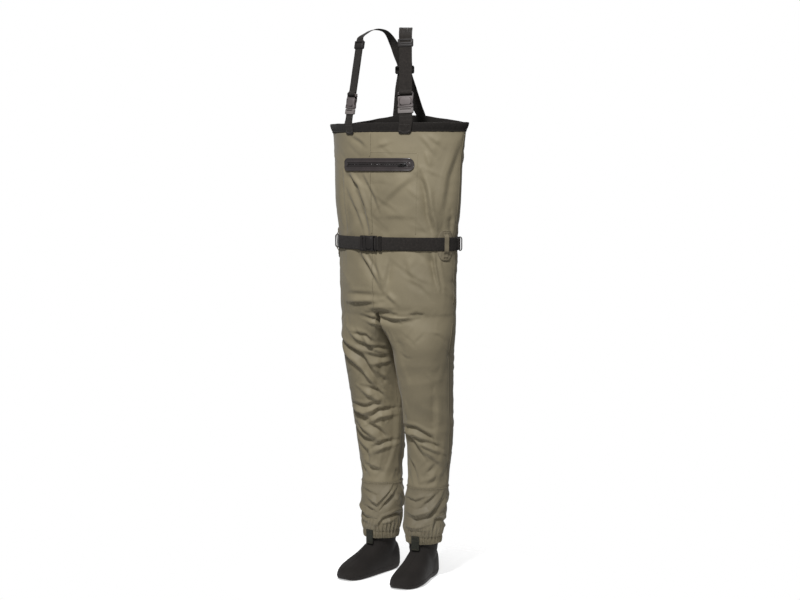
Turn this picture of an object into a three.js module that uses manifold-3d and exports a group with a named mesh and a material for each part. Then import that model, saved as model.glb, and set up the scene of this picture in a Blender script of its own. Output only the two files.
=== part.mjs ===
// Stockingfoot chest waders, standing as a wearer fills them, in millimetres.
// Heights are measured up from the soles. The wearer faces -Y, and +X is the wearer's left.
// The outer group moves everything so that the origin is where the two straps rest on the shoulders.
import * as THREE from "three";
import { mergeVertices } from "three/addons/utils/BufferGeometryUtils.js";
import Module from "manifold-3d";

const wasm = await Module();
wasm.setup();

// ---- driving dimensions ------------------------------------------------------------------
const SHOULDER_REST = [0, -33, 1690]; // the point midway between the straps' undersides
const GAP = 0.4; // clearance between neighbouring pieces
const CLOTH = 3; // the laminated shell, thicker than the real 0.6 mm
const RIM_TOP = 1406;
const RIM_BAND = 28;
const RIM_PROUD = 2;
const RIM_FLARE = 8;
const BACK_RISE = 26; // how far the back straps pull the rim up
const CROTCH = 830;
const BELT_HEIGHT = 1042;
const WEBBING = 40; // width of the belt and the shoulder straps
const WEB_THICK = 2.2;
const ZIP_HEIGHT = 1280;
const ZIP_LENGTH = 224;
const ZIP_SURROUND = [268, 40];
const ZIP_RADIUS = 300; // the zip lies on an arc, centred behind the chest
const ZIP_PROUD = 129.5; // how far in front of the body's centre the zip's arc reaches
const GUARD_TOP = 290;
const GUARD_HEM = 113;
const LEG_END = 200;
const TOES_OUT = { left: THREE.MathUtils.degToRad(10), right: THREE.MathUtils.degToRad(2.5) };
const FOOT_LENGTH = 268;
const HEEL_BACK = 74; // from the ankle's centre to the back of the heel
const NEOPRENE = 4;
const ANKLE_AT = { left: [79, 24], right: [-82, 26] };
const BUCKLE_WIDTH = 47;
const BUCKLE_THICK = 11;
const BUCKLE_PLUG_FRAME = 17;
const BUCKLE_SOCKET = 34;
const LADDER_LOCK = 12;

const FRONT = -Math.PI / 2;
const BACK = Math.PI / 2;
const TORSO_STEP = Math.PI / 20;
const LEG_STEP = Math.PI / 11;

// Body stations: height, half width, depth in front, depth behind.
const TORSO = [
  [CROTCH, 203, 117, 107],
  [863, 205, 124, 110],
  [940, 205, 125, 107],
  [1018, 208, 117, 103],
  [1066, 209, 116, 102],
  [1165, 222, 125, 97],
  [1290, 231, 128, 83],
  [1378, 244, 125, 66],
  [1440, 248, 125, 57],
];
// Left leg stations: height, centre x, centre y, half width, half depth.
const LEG = [
  [LEG_END, 82, 27, 51, 51],
  [GUARD_TOP, 87, 38, 63, 64],
  [326, 90, 40, 64, 66],
  [450, 94, 34, 75, 77],
  [606, 97, 14, 84, 88],
  [730, 102, -2, 91, 98],
  [CROTCH, 103, 4, 100, 110],
];
// Left gravel guard stations, in the same form.
const GUARD = [
  [GUARD_HEM, 81, 24, 54, 54],
  [140, 81, 24, 57, 57],
  [165, 81.5, 26, 63, 63],
  [233, 83, 33, 67.5, 68],
  [GUARD_TOP, 87, 38, 67.5, 68.5],
];

// ---- the body's skin ---------------------------------------------------------------------
const clamp01 = (x) => Math.min(1, Math.max(0, x));
const smooth = (a, b, x) => {
  const t = clamp01((x - a) / (b - a));
  return t * t * (3 - 2 * t);
};

// One row of a station table at any height, with smooth slopes between stations.
function station(table, height) {
  const last = table.length - 1;
  let i = 0;
  while (i < last - 1 && height > table[i + 1][0]) i += 1;
  const [p0, p1, p2, p3] = [i - 1, i, i + 1, i + 2].map((k) => table[Math.min(last, Math.max(0, k))]);
  const span = p2[0] - p1[0];
  const t = clamp01((height - p1[0]) / span);
  const [t2, t3] = [t * t, t * t * t];
  return p1.slice(1).map((_, k) => {
    const c = k + 1;
    const m1 = ((p2[c] - p0[c]) / (p2[0] - p0[0])) * span;
    const m2 = ((p3[c] - p1[c]) / (p3[0] - p1[0])) * span;
    const values = (2 * t3 - 3 * t2 + 1) * p1[c] + (3 * t2 - 2 * t3) * p2[c];
    return values + (t3 - 2 * t2 + t) * m1 + (t3 - t2) * m2;
  });
}

// A point on the body, grown outwards. t runs round it as an ellipse's own angle does.
// Towards the rim the front changes from half an ellipse to a flatter bow, with a corner at each side.
function torsoSkin(t, height, grow = 0) {
  const [a, front, back] = station(TORSO, height);
  const flare = RIM_FLARE * smooth(1378, RIM_TOP, height);
  const b = Math.sin(t) < 0 ? front : back;
  const bow = Math.sin(t) < 0 ? 0.6 * smooth(1100, 1400, height) : 0;
  const depth = (1 - bow) * Math.sin(t) + bow * Math.sin(t) * Math.abs(Math.sin(t));
  return [(a + flare + grow) * Math.cos(t), b * depth + grow * Math.sin(t)];
}

// Local axes on the body: X along the skin to the wearer's left in front, -Y outwards, Z up.
function onTorso(t, height, grow = 0) {
  const step = 0.01;
  const before = torsoSkin(t - step, height);
  const after = torsoSkin(t + step, height);
  const along = new THREE.Vector3(after[0] - before[0], after[1] - before[1], 0).normalize();
  const up = new THREE.Vector3(0, 0, 1);
  const inwards = new THREE.Vector3().crossVectors(up, along);
  const [x, y] = torsoSkin(t, height);
  const at = new THREE.Vector3(x, y, height).addScaledVector(inwards, -grow);
  return new THREE.Matrix4().makeBasis(along, inwards, up).setPosition(at);
}

// The height of the rim's top edge: level in front, and rising behind to where the straps pull it up.
function rimTop(t) {
  if (Math.sin(t) <= 0) return RIM_TOP;
  return RIM_TOP + BACK_RISE * clamp01((0.93 - Math.abs(Math.cos(t))) / 0.73);
}

// A point on a leg, at an angle round its centre. At the crotch the leg is half of the body.
function legSkin(table, angle, height, grow = 0) {
  const [cx, cy, rx, ry] = station(table, height);
  const [dx, dy] = [Math.cos(angle), Math.sin(angle)];
  let r = 1 / Math.hypot(dx / rx, dy / ry);
  const share = smooth(700, CROTCH, height);
  if (share > 0) {
    const [a, front, back] = station(TORSO, CROTCH);
    const b = dy < 0 ? front : back;
    const A = (dx / a) ** 2 + (dy / b) ** 2;
    const B = (cx * dx) / a ** 2;
    const hit = (-B + Math.sqrt(B * B + A * (1 - (cx / a) ** 2))) / A;
    const inner = dx < 0 ? (1 - cx) / dx : Infinity; // the flat wall between the legs
    r += (Math.min(hit, inner) - r) * share;
  }
  return [cx + (r + grow) * dx, cy + (r + grow) * dy];
}

// ---- solids ------------------------------------------------------------------------------
function geometryOf(vertices, triangles) {
  const g = new THREE.BufferGeometry();
  g.setAttribute("position", new THREE.BufferAttribute(new Float32Array(vertices.flat()), 3));
  return g.setIndex(triangles);
}

// A wall between two grids of points, outer and inner. wrap joins the last column to the first.
function wall(columns, rows, outer, inner, wrap = false) {
  const vertices = [];
  const triangles = [];
  for (const side of [outer, inner]) {
    for (let i = 0; i < columns; i += 1) {
      for (let j = 0; j < rows; j += 1) vertices.push(side(i, j));
    }
  }
  const at = (side, i, j) => side * columns * rows + (i % columns) * rows + j;
  const quad = (a, b, c, d) => triangles.push(a, b, c, a, c, d);
  const top = rows - 1;
  const across = wrap ? columns : columns - 1;
  for (let i = 0; i < across; i += 1) {
    for (let j = 0; j < top; j += 1) {
      quad(at(0, i, j), at(0, i + 1, j), at(0, i + 1, j + 1), at(0, i, j + 1));
      quad(at(1, i, j), at(1, i, j + 1), at(1, i + 1, j + 1), at(1, i + 1, j));
    }
    quad(at(0, i, 0), at(1, i, 0), at(1, i + 1, 0), at(0, i + 1, 0));
    quad(at(0, i, top), at(0, i + 1, top), at(1, i + 1, top), at(1, i, top));
  }
  if (!wrap) {
    const end = columns - 1;
    for (let j = 0; j < top; j += 1) {
      quad(at(0, 0, j), at(0, 0, j + 1), at(1, 0, j + 1), at(1, 0, j));
      quad(at(0, end, j), at(1, end, j), at(1, end, j + 1), at(0, end, j + 1));
    }
  }
  return geometryOf(vertices, triangles);
}

// Angles from one to another, with every multiple of a step between them.
function anglesBetween(from, to, step) {
  const angles = [from];
  for (let k = Math.ceil(from / step + 0.05); k * step < to - 0.05 * step; k += 1) angles.push(k * step);
  return [...angles, to];
}
const allRound = (step) => anglesBetween(0, Math.PI * 2, step).slice(0, -1);

// A curved wall on a skin. A height may be a number, or a function of the angle.
function shell({ skin, angles, heights, outer = 0, thick, wrap = false }) {
  const point = (grow) => (i, j) => {
    const height = typeof heights[j] === "function" ? heights[j](angles[i]) : heights[j];
    return [...skin(angles[i], height, grow), height];
  };
  return wall(angles.length, heights.length, point(outer), point(outer - thick), wrap);
}

// A closed loft through rings of points, with a flat fan at each end.
function loft(rings) {
  const n = rings[0].length;
  const vertices = rings.flat();
  const triangles = [];
  for (let k = 0; k < rings.length - 1; k += 1) {
    for (let i = 0; i < n; i += 1) {
      const [a, b] = [k * n + i, k * n + ((i + 1) % n)];
      triangles.push(a, b, b + n, a, b + n, a + n);
    }
  }
  const middle = (ring) => [0, 1, 2].map((c) => ring.reduce((sum, p) => sum + p[c], 0) / n);
  const [first, last] = [vertices.length, vertices.length + 1];
  vertices.push(middle(rings[0]), middle(rings.at(-1)));
  const start = (rings.length - 1) * n;
  for (let i = 0; i < n; i += 1) {
    triangles.push(first, (i + 1) % n, i, last, start + i, start + ((i + 1) % n));
  }
  return geometryOf(vertices, triangles);
}

// A flat strap swept along stations, each with its point and the direction of the strap's width.
function strap(stations, width, thick, perSpan = 3) {
  const points = stations.map((s) => new THREE.Vector3(...s.at));
  const curve = new THREE.CatmullRomCurve3(points, false, "centripetal");
  const spans = stations.length - 1;
  const corners = [[-1, -1], [1, -1], [1, 1], [-1, 1]];
  const rings = [];
  for (let k = 0; k <= spans * perSpan; k += 1) {
    const place = k / perSpan;
    const i = Math.min(spans - 1, Math.floor(place));
    const middle = curve.getPoint(place / spans);
    const along = curve.getTangent(place / spans);
    const across = new THREE.Vector3(...stations[i].across)
      .lerp(new THREE.Vector3(...stations[i + 1].across), place - i)
      .projectOnPlane(along)
      .normalize();
    const deep = new THREE.Vector3().crossVectors(along, across);
    const corner = ([u, v]) =>
      middle
        .clone()
        .addScaledVector(across, (u * width) / 2)
        .addScaledVector(deep, (v * thick) / 2)
        .toArray();
    rings.push(corners.map(corner));
  }
  return loft(rings);
}

// manifold-3d joins and cuts.
function solid(geometry) {
  const plain = geometry.index ? geometry.toNonIndexed() : geometry;
  const bare = new THREE.BufferGeometry().setAttribute("position", plain.getAttribute("position"));
  const merged = mergeVertices(bare, 1e-3);
  const triVerts = new Uint32Array(merged.index.array);
  const vertProperties = merged.attributes.position.array;
  return new wasm.Manifold(new wasm.Mesh({ numProp: 3, vertProperties, triVerts }));
}
function geometryFrom(manifold) {
  const mesh = manifold.getMesh();
  const vertices = [];
  for (let i = 0; i < mesh.numVert; i += 1) {
    vertices.push([...mesh.vertProperties.subarray(i * mesh.numProp, i * mesh.numProp + 3)]);
  }
  return geometryOf(vertices, [...mesh.triVerts]);
}
const join = (first, ...rest) =>
  geometryFrom(rest.reduce((sum, g) => sum.add(solid(g)), solid(first)));
const cut = (first, ...rest) =>
  geometryFrom(rest.reduce((left, g) => left.subtract(solid(g)), solid(first)));

const box = (w, d, h, x = 0, y = 0, z = 0) => new THREE.BoxGeometry(w, d, h).translate(x, y, z);

// A plate with rounded corners, standing in the XZ plane, with its thickness along Y.
function plate(width, height, radius, thick, y = 0, z = 0) {
  const [w, h] = [width / 2 - radius, height / 2 - radius];
  const shape = new THREE.Shape();
  shape.absarc(w, h, radius, 0, Math.PI / 2);
  shape.absarc(-w, h, radius, Math.PI / 2, Math.PI);
  shape.absarc(-w, -h, radius, Math.PI, Math.PI * 1.5);
  shape.absarc(w, -h, radius, Math.PI * 1.5, Math.PI * 2);
  shape.closePath();
  const g = new THREE.ExtrudeGeometry(shape, { depth: thick, bevelEnabled: false, curveSegments: 3 });
  return g.rotateX(Math.PI / 2).translate(0, thick / 2 + y, z);
}

// A round bar from one point to another.
function bar(from, to, radius, sides = 8) {
  const [a, b] = [new THREE.Vector3(...from), new THREE.Vector3(...to)];
  const direction = b.clone().sub(a).normalize();
  const turn = new THREE.Quaternion().setFromUnitVectors(new THREE.Vector3(0, 1, 0), direction);
  const g = new THREE.CylinderGeometry(radius, radius, a.distanceTo(b), sides);
  return g.applyQuaternion(turn).translate(...a.add(b).multiplyScalar(0.5).toArray());
}

// ---- materials ---------------------------------------------------------------------------
const material = (color, roughness, metalness = 0) => {
  return new THREE.MeshStandardMaterial({ color, roughness, metalness });
};
const SHELL = material(0x857b66, 0.75);
const PATCH = material(0x7c735e, 0.75);
const BINDING = material(0x2b2827, 0.9);
const WEB = material(0x2c2a28, 0.85);
const PLASTIC = material(0x3a3836, 0.5);
const GREY_PLASTIC = material(0x67605f, 0.5);
const ZIP_FILM = material(0x2e2b2c, 0.4);
const SOCK = material(0x272423, 0.95);
const METAL = material(0x8a8a88, 0.35, 1);
const ELASTIC = material(0x3a3a38, 0.9);

const garment = new THREE.Group();
garment.position.set(...SHOULDER_REST.map((x) => -x));
function add(name, geometry, look, parent = garment) {
  const mesh = new THREE.Mesh(geometry, look.clone());
  mesh.name = name;
  parent.add(mesh);
}
function mirrored(geometry) {
  const plain = geometry.index ? geometry.toNonIndexed() : geometry;
  const p = plain.getAttribute("position");
  const flipped = [];
  for (let i = 0; i < p.count; i += 3) {
    for (const k of [i, i + 2, i + 1]) flipped.push([-p.getX(k), p.getY(k), p.getZ(k)]);
  }
  return geometryOf(flipped, [...flipped.keys()]);
}
// One geometry for the wearer's left, and its mirror image for the right.
function addPair(name, geometry, look) {
  add(`left_${name}`, geometry, look);
  add(`right_${name}`, mirrored(geometry), look);
}

// ---- shell panels ------------------------------------------------------------------------
const BODY_SEAM = GAP / 2 / 100; // half the gap between two panels, as an angle
const panelTop = (t) => rimTop(t) - RIM_BAND - GAP;
const chestPanel = (from, to) =>
  shell({
    skin: torsoSkin,
    angles: anglesBetween(from, to, TORSO_STEP),
    heights: [CROTCH, 880, 940, 990, 1018, 1066, 1095, 1165, 1262, 1330, panelTop],
    thick: CLOTH,
  });
add("chest_front_panel", chestPanel(-Math.PI + BODY_SEAM, -BODY_SEAM), SHELL);
add("chest_back_panel", chestPanel(BODY_SEAM, Math.PI - BODY_SEAM), SHELL);

const LEG_SEAM = GAP / 2 / 50;
const legPanel = (from, to) =>
  shell({
    skin: (angle, height, grow) => legSkin(LEG, angle, height, grow),
    angles: anglesBetween(from, to, LEG_STEP),
    heights: [LEG_END, 245, GUARD_TOP, 350, 450, 530, 606, 680, 730, 775, CROTCH - GAP],
    thick: CLOTH,
  });
addPair("leg_front_panel", legPanel(-Math.PI + LEG_SEAM, -LEG_SEAM), SHELL);
addPair("leg_back_panel", legPanel(LEG_SEAM, Math.PI - LEG_SEAM), SHELL);

// ---- rim binding -------------------------------------------------------------------------
const rimBinding = shell({
  skin: torsoSkin,
  angles: allRound(TORSO_STEP),
  heights: [(t) => rimTop(t) - RIM_BAND, (t) => rimTop(t) - RIM_BAND / 2, rimTop],
  outer: RIM_PROUD,
  thick: CLOTH + RIM_PROUD,
  wrap: true,
});
add("rim_binding", rimBinding, BINDING);

// ---- gravel guards and their hem elastic -------------------------------------------------
const guardShell = (heights, outer, thick) =>
  shell({
    skin: (angle, height, grow) => legSkin(GUARD, angle, height, grow),
    angles: allRound(LEG_STEP),
    heights,
    outer,
    thick,
    wrap: true,
  });
const GUARD_CLOTH = 2.5;
addPair("gravel_guard", guardShell([GUARD_HEM, 128, 165, 200, 245, GUARD_TOP], 0, GUARD_CLOTH), SHELL);
addPair("hem_elastic", guardShell([GUARD_HEM + 2, GUARD_HEM + 15], -GUARD_CLOTH - GAP, 1.6), ELASTIC);

// ---- neoprene socks ----------------------------------------------------------------------
// Foot stations: distance from the back of the heel, half width, lowest and highest point, sideways shift.
const FOOT = [
  [0, 12, 26, 62, 0],
  [7, 22, 11, 78, 0],
  [20, 30, 3, 92, 0],
  [45, 35, 0, 106, 0],
  [85, 38, 0, 112, 0],
  [120, 42, 0, 98, 2],
  [155, 46, 0, 76, 4],
  [195, 48, 0, 59, 5],
  [232, 42, 0, 48, 4],
  [256, 30, 3, 39, 2],
  [FOOT_LENGTH, 12, 9, 28, 0],
];
// Ankle stations: height, half width, half depth.
const ANKLE = [
  [50, 34, 44],
  [85, 41, 49],
  [118, 46, 47],
  [160, 48, 47],
  [LEG_END - GAP, 50, 50],
];
const RING_SIDES = 16;

// A foot section: rounded above, with a quarter of its height in the rounded edge of a flat sole.
function footRing([distance, halfWidth, low, high, shift], inset) {
  const ring = [];
  for (let k = 0; k < RING_SIDES; k += 1) {
    const angle = (k / RING_SIDES) * Math.PI * 2;
    const [c, s] = [Math.cos(angle), Math.sin(angle)];
    const rise = s > 0 ? 0.25 + 0.75 * s ** 0.9 : 0.25 * (1 - Math.min(1, -s / 0.6) ** 0.7);
    const x = shift + (halfWidth - inset) * Math.sign(c) * Math.abs(c) ** 0.75;
    ring.push([x, HEEL_BACK - distance, low + inset + (high - low - 2 * inset) * rise]);
  }
  return ring;
}
function ankleRing([height, halfWidth, halfDepth], inset) {
  const ring = [];
  for (let k = 0; k < RING_SIDES; k += 1) {
    const angle = (k / RING_SIDES) * Math.PI * 2;
    ring.push([(halfWidth - inset) * Math.cos(angle), (halfDepth - inset) * Math.sin(angle), height]);
  }
  return ring;
}
function footBody(inset) {
  const ends = [FOOT[0][0] + inset, FOOT_LENGTH - inset];
  const foot = FOOT.map(([distance, ...rest]) => [Math.min(ends[1], Math.max(ends[0], distance)), ...rest]);
  const opened = inset > 0 ? [[LEG_END + 5, 50, 50]] : [];
  return join(
    loft(foot.map((row) => footRing(row, inset))),
    loft([...ANKLE, ...opened].map((row) => ankleRing(row, inset))),
  );
}
// The pieces at the ankles turn with the toes, which point out further on the left.
function addAtAnkles(name, make, look) {
  add(`left_${name}`, make().rotateZ(TOES_OUT.left).translate(...ANKLE_AT.left, 0), look);
  add(`right_${name}`, mirrored(make().rotateZ(TOES_OUT.right)).translate(...ANKLE_AT.right, 0), look);
}
addAtAnkles("neoprene_sock", () => cut(footBody(0), footBody(NEOPRENE)), SOCK);

// ---- lace hook tabs on the guards --------------------------------------------------------
const TAB_TOP = 139;
const TAB_LENGTH = 44;
const TAB_THICK = 2;
const TAB_FACE = 60.5; // from the ankle's centre to the tab's back
const TAB_WIDTH = 26;
const TAB_MIDDLE = TAB_TOP - TAB_LENGTH / 2;
const hookTab = () => plate(TAB_WIDTH, TAB_LENGTH, 2, TAB_THICK, -TAB_FACE - TAB_THICK / 2, TAB_MIDDLE);
addAtAnkles("lace_hook_tab", hookTab, WEB);
// The hook is bent from strip behind the tab's lower half, and opens upwards.
const HOOK_TOP = TAB_TOP - TAB_LENGTH + 22;
const hookPlane = -TAB_FACE + GAP + 0.6;
const lacingHook = () =>
  join(
    box(12, 1.2, 6, 0, hookPlane, HOOK_TOP - 3),
    box(7, 1.2, 12, 0, hookPlane, HOOK_TOP - 10),
    box(7, 4.4, 1.2, 0, hookPlane + 1.6, HOOK_TOP - 15.5),
    box(7, 1.2, 4, 0, hookPlane + 3.2, HOOK_TOP - 14.1),
  );
addAtAnkles("lace_hook", lacingHook, METAL);

// ---- chest pocket and its zip ------------------------------------------------------------
const ARC_BEHIND = ZIP_RADIUS - ZIP_PROUD; // the zip arc's centre, behind the body's centre
// A plate with rounded ends, bent round the zip's arc.
function arcPlate(length, height, radius, thick, corner) {
  const columns = 21;
  const reach = length / 2;
  const halfHeight = (s) => {
    const over = Math.max(0, Math.abs(s) - (reach - corner));
    return height / 2 - corner + Math.sqrt(Math.max(0, corner ** 2 - over ** 2));
  };
  // Columns crowd towards the rounded ends.
  const along = (i) => reach * Math.sin((-0.5 + i / (columns - 1)) * Math.PI) * 0.9995;
  const place = (r) => (i, j) => {
    const angle = FRONT + along(i) / radius;
    const z = ZIP_HEIGHT + halfHeight(along(i)) * (j === 0 ? -1 : 1);
    return [r * Math.cos(angle), ARC_BEHIND + r * Math.sin(angle), z];
  };
  return wall(columns, 2, place(radius), place(radius - thick));
}
const ZIP_WIDTH = 12;
const surround = arcPlate(...ZIP_SURROUND, ZIP_RADIUS + 2.2, 1.6, 16);
const surroundSlot = arcPlate(ZIP_LENGTH + 3, ZIP_WIDTH + 1.2, ZIP_RADIUS + 5, 9, 3);
add("zip_surround", cut(surround, surroundSlot), ZIP_FILM);
add("zip_tape", arcPlate(ZIP_LENGTH, ZIP_WIDTH, ZIP_RADIUS + 1.6, 1.6, 2.5), ZIP_FILM);

// The slider and its pull are drawn at the front of the arc, then turned to the arc's closed end.
const zipEnd = new THREE.Group();
zipEnd.position.set(0, ARC_BEHIND, ZIP_HEIGHT);
zipEnd.rotation.z = (ZIP_LENGTH / 2 - 8) / ZIP_RADIUS;
garment.add(zipEnd);
const sliderBack = -(ZIP_RADIUS + 1.6 + GAP);
const BAIL_GAP = 2.2;
const slider = join(
  plate(12, 9, 2.5, 2.4, sliderBack - 1.2),
  box(1.4, BAIL_GAP + 1.2, 2, -4.4, sliderBack - 2.4 - BAIL_GAP / 2, 0),
  box(1.4, BAIL_GAP + 1.2, 2, 4.4, sliderBack - 2.4 - BAIL_GAP / 2, 0),
  box(10.2, 1.2, 2, 0, sliderBack - 3 - BAIL_GAP, 0),
);
add("zip_slider", slider, METAL, zipEnd);
const pullAt = sliderBack - 2.4 - BAIL_GAP / 2;
const pull = cut(
  plate(22, 8, 3, 1.2).translate(-10.5, 0, 0),
  box(5.6, 4, 3.6, -3.5, 0, 0),
);
add("zip_pull", pull.translate(0, pullAt, 0), PLASTIC, zipEnd);

const pocketBag = shell({
  skin: torsoSkin,
  angles: anglesBetween(FRONT - 4 * TORSO_STEP, FRONT + 4 * TORSO_STEP, TORSO_STEP),
  heights: [1095, 1165, 1262],
  outer: -CLOTH - 1,
  thick: 2,
});
add("pocket_bag", pocketBag, PATCH);

// ---- buckles -----------------------------------------------------------------------------
// Drawn with X across the strap, Z along it from the plug to the socket, and -Y facing out.
// The plug: a frame that holds the sewn webbing, two spring prongs, and a guide between them.
function bucklePlug(foot) {
  const shoulder = foot + BUCKLE_PLUG_FRAME;
  const frame = cut(
    plate(BUCKLE_WIDTH, BUCKLE_PLUG_FRAME, 3, 8, 0, foot + BUCKLE_PLUG_FRAME / 2),
    box(WEBBING + 1.4, WEB_THICK + 1, 20, 0, 0, foot - 2),
  );
  const prong = (side) =>
    join(
      box(5, 4, 25, side * 14, 0, shoulder + 11.5),
      box(4, 4, 8, side * 16.4, 0, shoulder + 20),
    );
  return join(frame, prong(-1), prong(1), box(8, 4, 20, 0, 0, shoulder + 9));
}
// The socket: a hollow block, open below, with side windows and a ladder lock above.
function buckleSocket(foot) {
  const top = foot + BUCKLE_SOCKET;
  const middle = (foot + top) / 2;
  const rail = (side) => box(3, 8, LADDER_LOCK + 6, side * (BUCKLE_WIDTH / 2 - 1.5), 0, top + 3);
  const lockBar = (y, z) => box(BUCKLE_WIDTH, 3, 3, 0, y, z);
  return join(
    cut(
      plate(BUCKLE_WIDTH, BUCKLE_SOCKET, 4, BUCKLE_THICK, 0, middle),
      box(BUCKLE_WIDTH - 6, 5.4, BUCKLE_SOCKET, 0, 0, middle - 3),
      box(BUCKLE_WIDTH + 8, 4.4, 13, 0, 0, foot + 18),
    ),
    rail(-1),
    rail(1),
    lockBar(-4.3, top + LADDER_LOCK - 1.5),
    lockBar(4.3, top + 4),
  );
}

// ---- suspenders --------------------------------------------------------------------------
// The front run of each strap is straight: it leans back and inwards from the rim to the slider.
const ANCHOR_ANGLE = FRONT + 0.425;
const anchorFrame = onTorso(ANCHOR_ANGLE, RIM_TOP, RIM_PROUD + WEB_THICK / 2 + 1);
const anchorAt = new THREE.Vector3().setFromMatrixPosition(anchorFrame);
const runTop = new THREE.Vector3(84, -81, 1657);
const runUp = runTop.clone().sub(anchorAt).normalize();
const RUN_LENGTH = runTop.distanceTo(anchorAt);
const runAcross = new THREE.Vector3(0.93, 0.37, 0).projectOnPlane(runUp).normalize();
const runBack = new THREE.Vector3().crossVectors(runUp, runAcross);
const runFrame = new THREE.Matrix4().makeBasis(runAcross, runBack, runUp).setPosition(anchorAt);
const onRun = (geometry) => geometry.applyMatrix4(runFrame);
const alongRun = (distance) => anchorAt.clone().addScaledVector(runUp, distance).toArray();

const PLUG_FOOT = 27;
const SOCKET_FOOT = PLUG_FOOT + BUCKLE_PLUG_FRAME + GAP;
const SOCKET_TOP = SOCKET_FOOT + BUCKLE_SOCKET;

// The anchor webbing is sewn to the panel, crosses the rim and loops through the plug's frame.
const anchorStation = (height, grow) => {
  const frame = onTorso(ANCHOR_ANGLE, height, grow);
  const at = new THREE.Vector3().setFromMatrixPosition(frame).toArray();
  return { at, across: new THREE.Vector3().setFromMatrixColumn(frame, 0).toArray() };
};
const anchorTab = strap(
  [
    anchorStation(1367, WEB_THICK / 2 + 1.4),
    anchorStation(1377, RIM_PROUD + WEB_THICK / 2 + 1),
    anchorStation(1390, RIM_PROUD + WEB_THICK / 2 + 1),
    { ...anchorStation(RIM_TOP, 0), at: alongRun(0) },
    { at: alongRun(13), across: runAcross.toArray() },
    { at: alongRun(PLUG_FOOT + 7), across: runAcross.toArray() },
  ],
  WEBBING,
  WEB_THICK,
);
addPair("front_anchor_tab", anchorTab, WEB);
addPair("buckle_plug", onRun(bucklePlug(PLUG_FOOT)), GREY_PLASTIC);
addPair("buckle_socket", onRun(buckleSocket(SOCKET_FOOT)), GREY_PLASTIC);

// The front run is doubled, from the ladder lock up through the slider.
const DOUBLED = WEB_THICK * 2 + 0.4;
const runStart = SOCKET_TOP + GAP;
const frontRun = box(WEBBING - 1, DOUBLED, RUN_LENGTH - runStart, 0, 0, (RUN_LENGTH + runStart) / 2);
addPair("strap_front_run", onRun(frontRun), WEB);

// The slider is a frame round the doubled strap, just below the run's top.
const SLIDER_AT = RUN_LENGTH - 14;
const strapSlider = cut(
  plate(47, 24, 3, 8.4, 0, SLIDER_AT),
  box(WEBBING + 0.6, DOUBLED + 1, 40, 0, 0, SLIDER_AT),
);
addPair("strap_slider", onRun(strapSlider), PLASTIC);

// Over the shoulder, and down to the yoke behind the neck. lay keeps the two straps apart there.
const YOKE_HEIGHT = 1571;
const YOKE_Y = 36;
const shoulderStrap = (lay) =>
  strap(
    [
      { at: alongRun(RUN_LENGTH + 1.2), across: runAcross.toArray() },
      { at: alongRun(RUN_LENGTH + 9), across: [0.89, 0.45, 0] },
      { at: [74, -66, 1678], across: [0.82, 0.57, 0] },
      { at: [65, -51, 1687.5], across: [0.79, 0.61, 0] },
      { at: [52, -33, 1691.9], across: [0.79, 0.61, 0] },
      { at: [36, -11, 1684], across: [0.84, 0.54, 0] },
      { at: [23, 9 + lay, 1650], across: [0.97, 0.22, 0] },
      { at: [14, 24 + lay, 1612], across: [1, 0.05, 0] },
      { at: [9, YOKE_Y + lay, YOKE_HEIGHT + 14], across: [1, 0, 0] },
      { at: [9, YOKE_Y + lay, YOKE_HEIGHT + 1], across: [1, 0, 0] },
    ],
    WEBBING,
    WEB_THICK,
    2,
  );
add("left_shoulder_strap", shoulderStrap(-1.6), WEB);
add("right_shoulder_strap", mirrored(shoulderStrap(1.6)), WEB);

// The yoke is a sleeve that gathers both straps. Two straps leave it for the back of the rim.
const yoke = cut(
  plate(66, 26, 4, 11, YOKE_Y, YOKE_HEIGHT),
  box(60, 6.6, 40, 0, YOKE_Y, YOKE_HEIGHT),
);
add("back_yoke", yoke, PLASTIC);

const BACK_ANCHOR = BACK - 0.173;
const backStation = (height) => {
  const frame = onTorso(BACK_ANCHOR, height, RIM_PROUD + WEB_THICK / 2 + 1.2);
  return { at: new THREE.Vector3().setFromMatrixPosition(frame).toArray(), across: [1, -0.1, 0] };
};
const backStrap = (lay) =>
  strap(
    [
      { at: [10, YOKE_Y + lay, YOKE_HEIGHT - 1], across: [1, 0, 0] },
      { at: [10.5, YOKE_Y + lay, YOKE_HEIGHT - 14], across: [1, 0, 0] },
      { at: [23, 42 + lay / 2, 1510], across: [1, 0, 0.22] },
      { at: [36, 54, 1455], across: [1, -0.05, 0.2] },
      backStation(1426),
      backStation(1396),
    ],
    WEBBING - 4,
    WEB_THICK,
  );
add("left_back_strap", backStrap(-1.6), WEB);
add("right_back_strap", mirrored(backStrap(1.6)), WEB);

// ---- belt --------------------------------------------------------------------------------
const BELT_STANDOFF = 3;
const BUCKLE_ANGLE = FRONT - 0.1; // the buckle sits to the wearer's right of the middle
const BUCKLE_LIFT = BUCKLE_THICK / 2 + 1.4; // from the skin to the buckle's middle plane
const buckleAt = onTorso(BUCKLE_ANGLE, BELT_HEIGHT, BUCKLE_LIFT);
// The buckle's own Z runs along the belt, towards the socket.
const layAlong = new THREE.Matrix4().makeBasis(
  new THREE.Vector3(0, 0, -1),
  new THREE.Vector3(0, 1, 0),
  new THREE.Vector3(1, 0, 0),
);
const onBelt = (geometry) => geometry.applyMatrix4(layAlong).applyMatrix4(buckleAt);
const PLUG_START = -34;
add("belt_buckle_plug", onBelt(bucklePlug(PLUG_START)), PLASTIC);
add("belt_buckle_socket", onBelt(buckleSocket(PLUG_START + BUCKLE_PLUG_FRAME + GAP)), PLASTIC);

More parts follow.
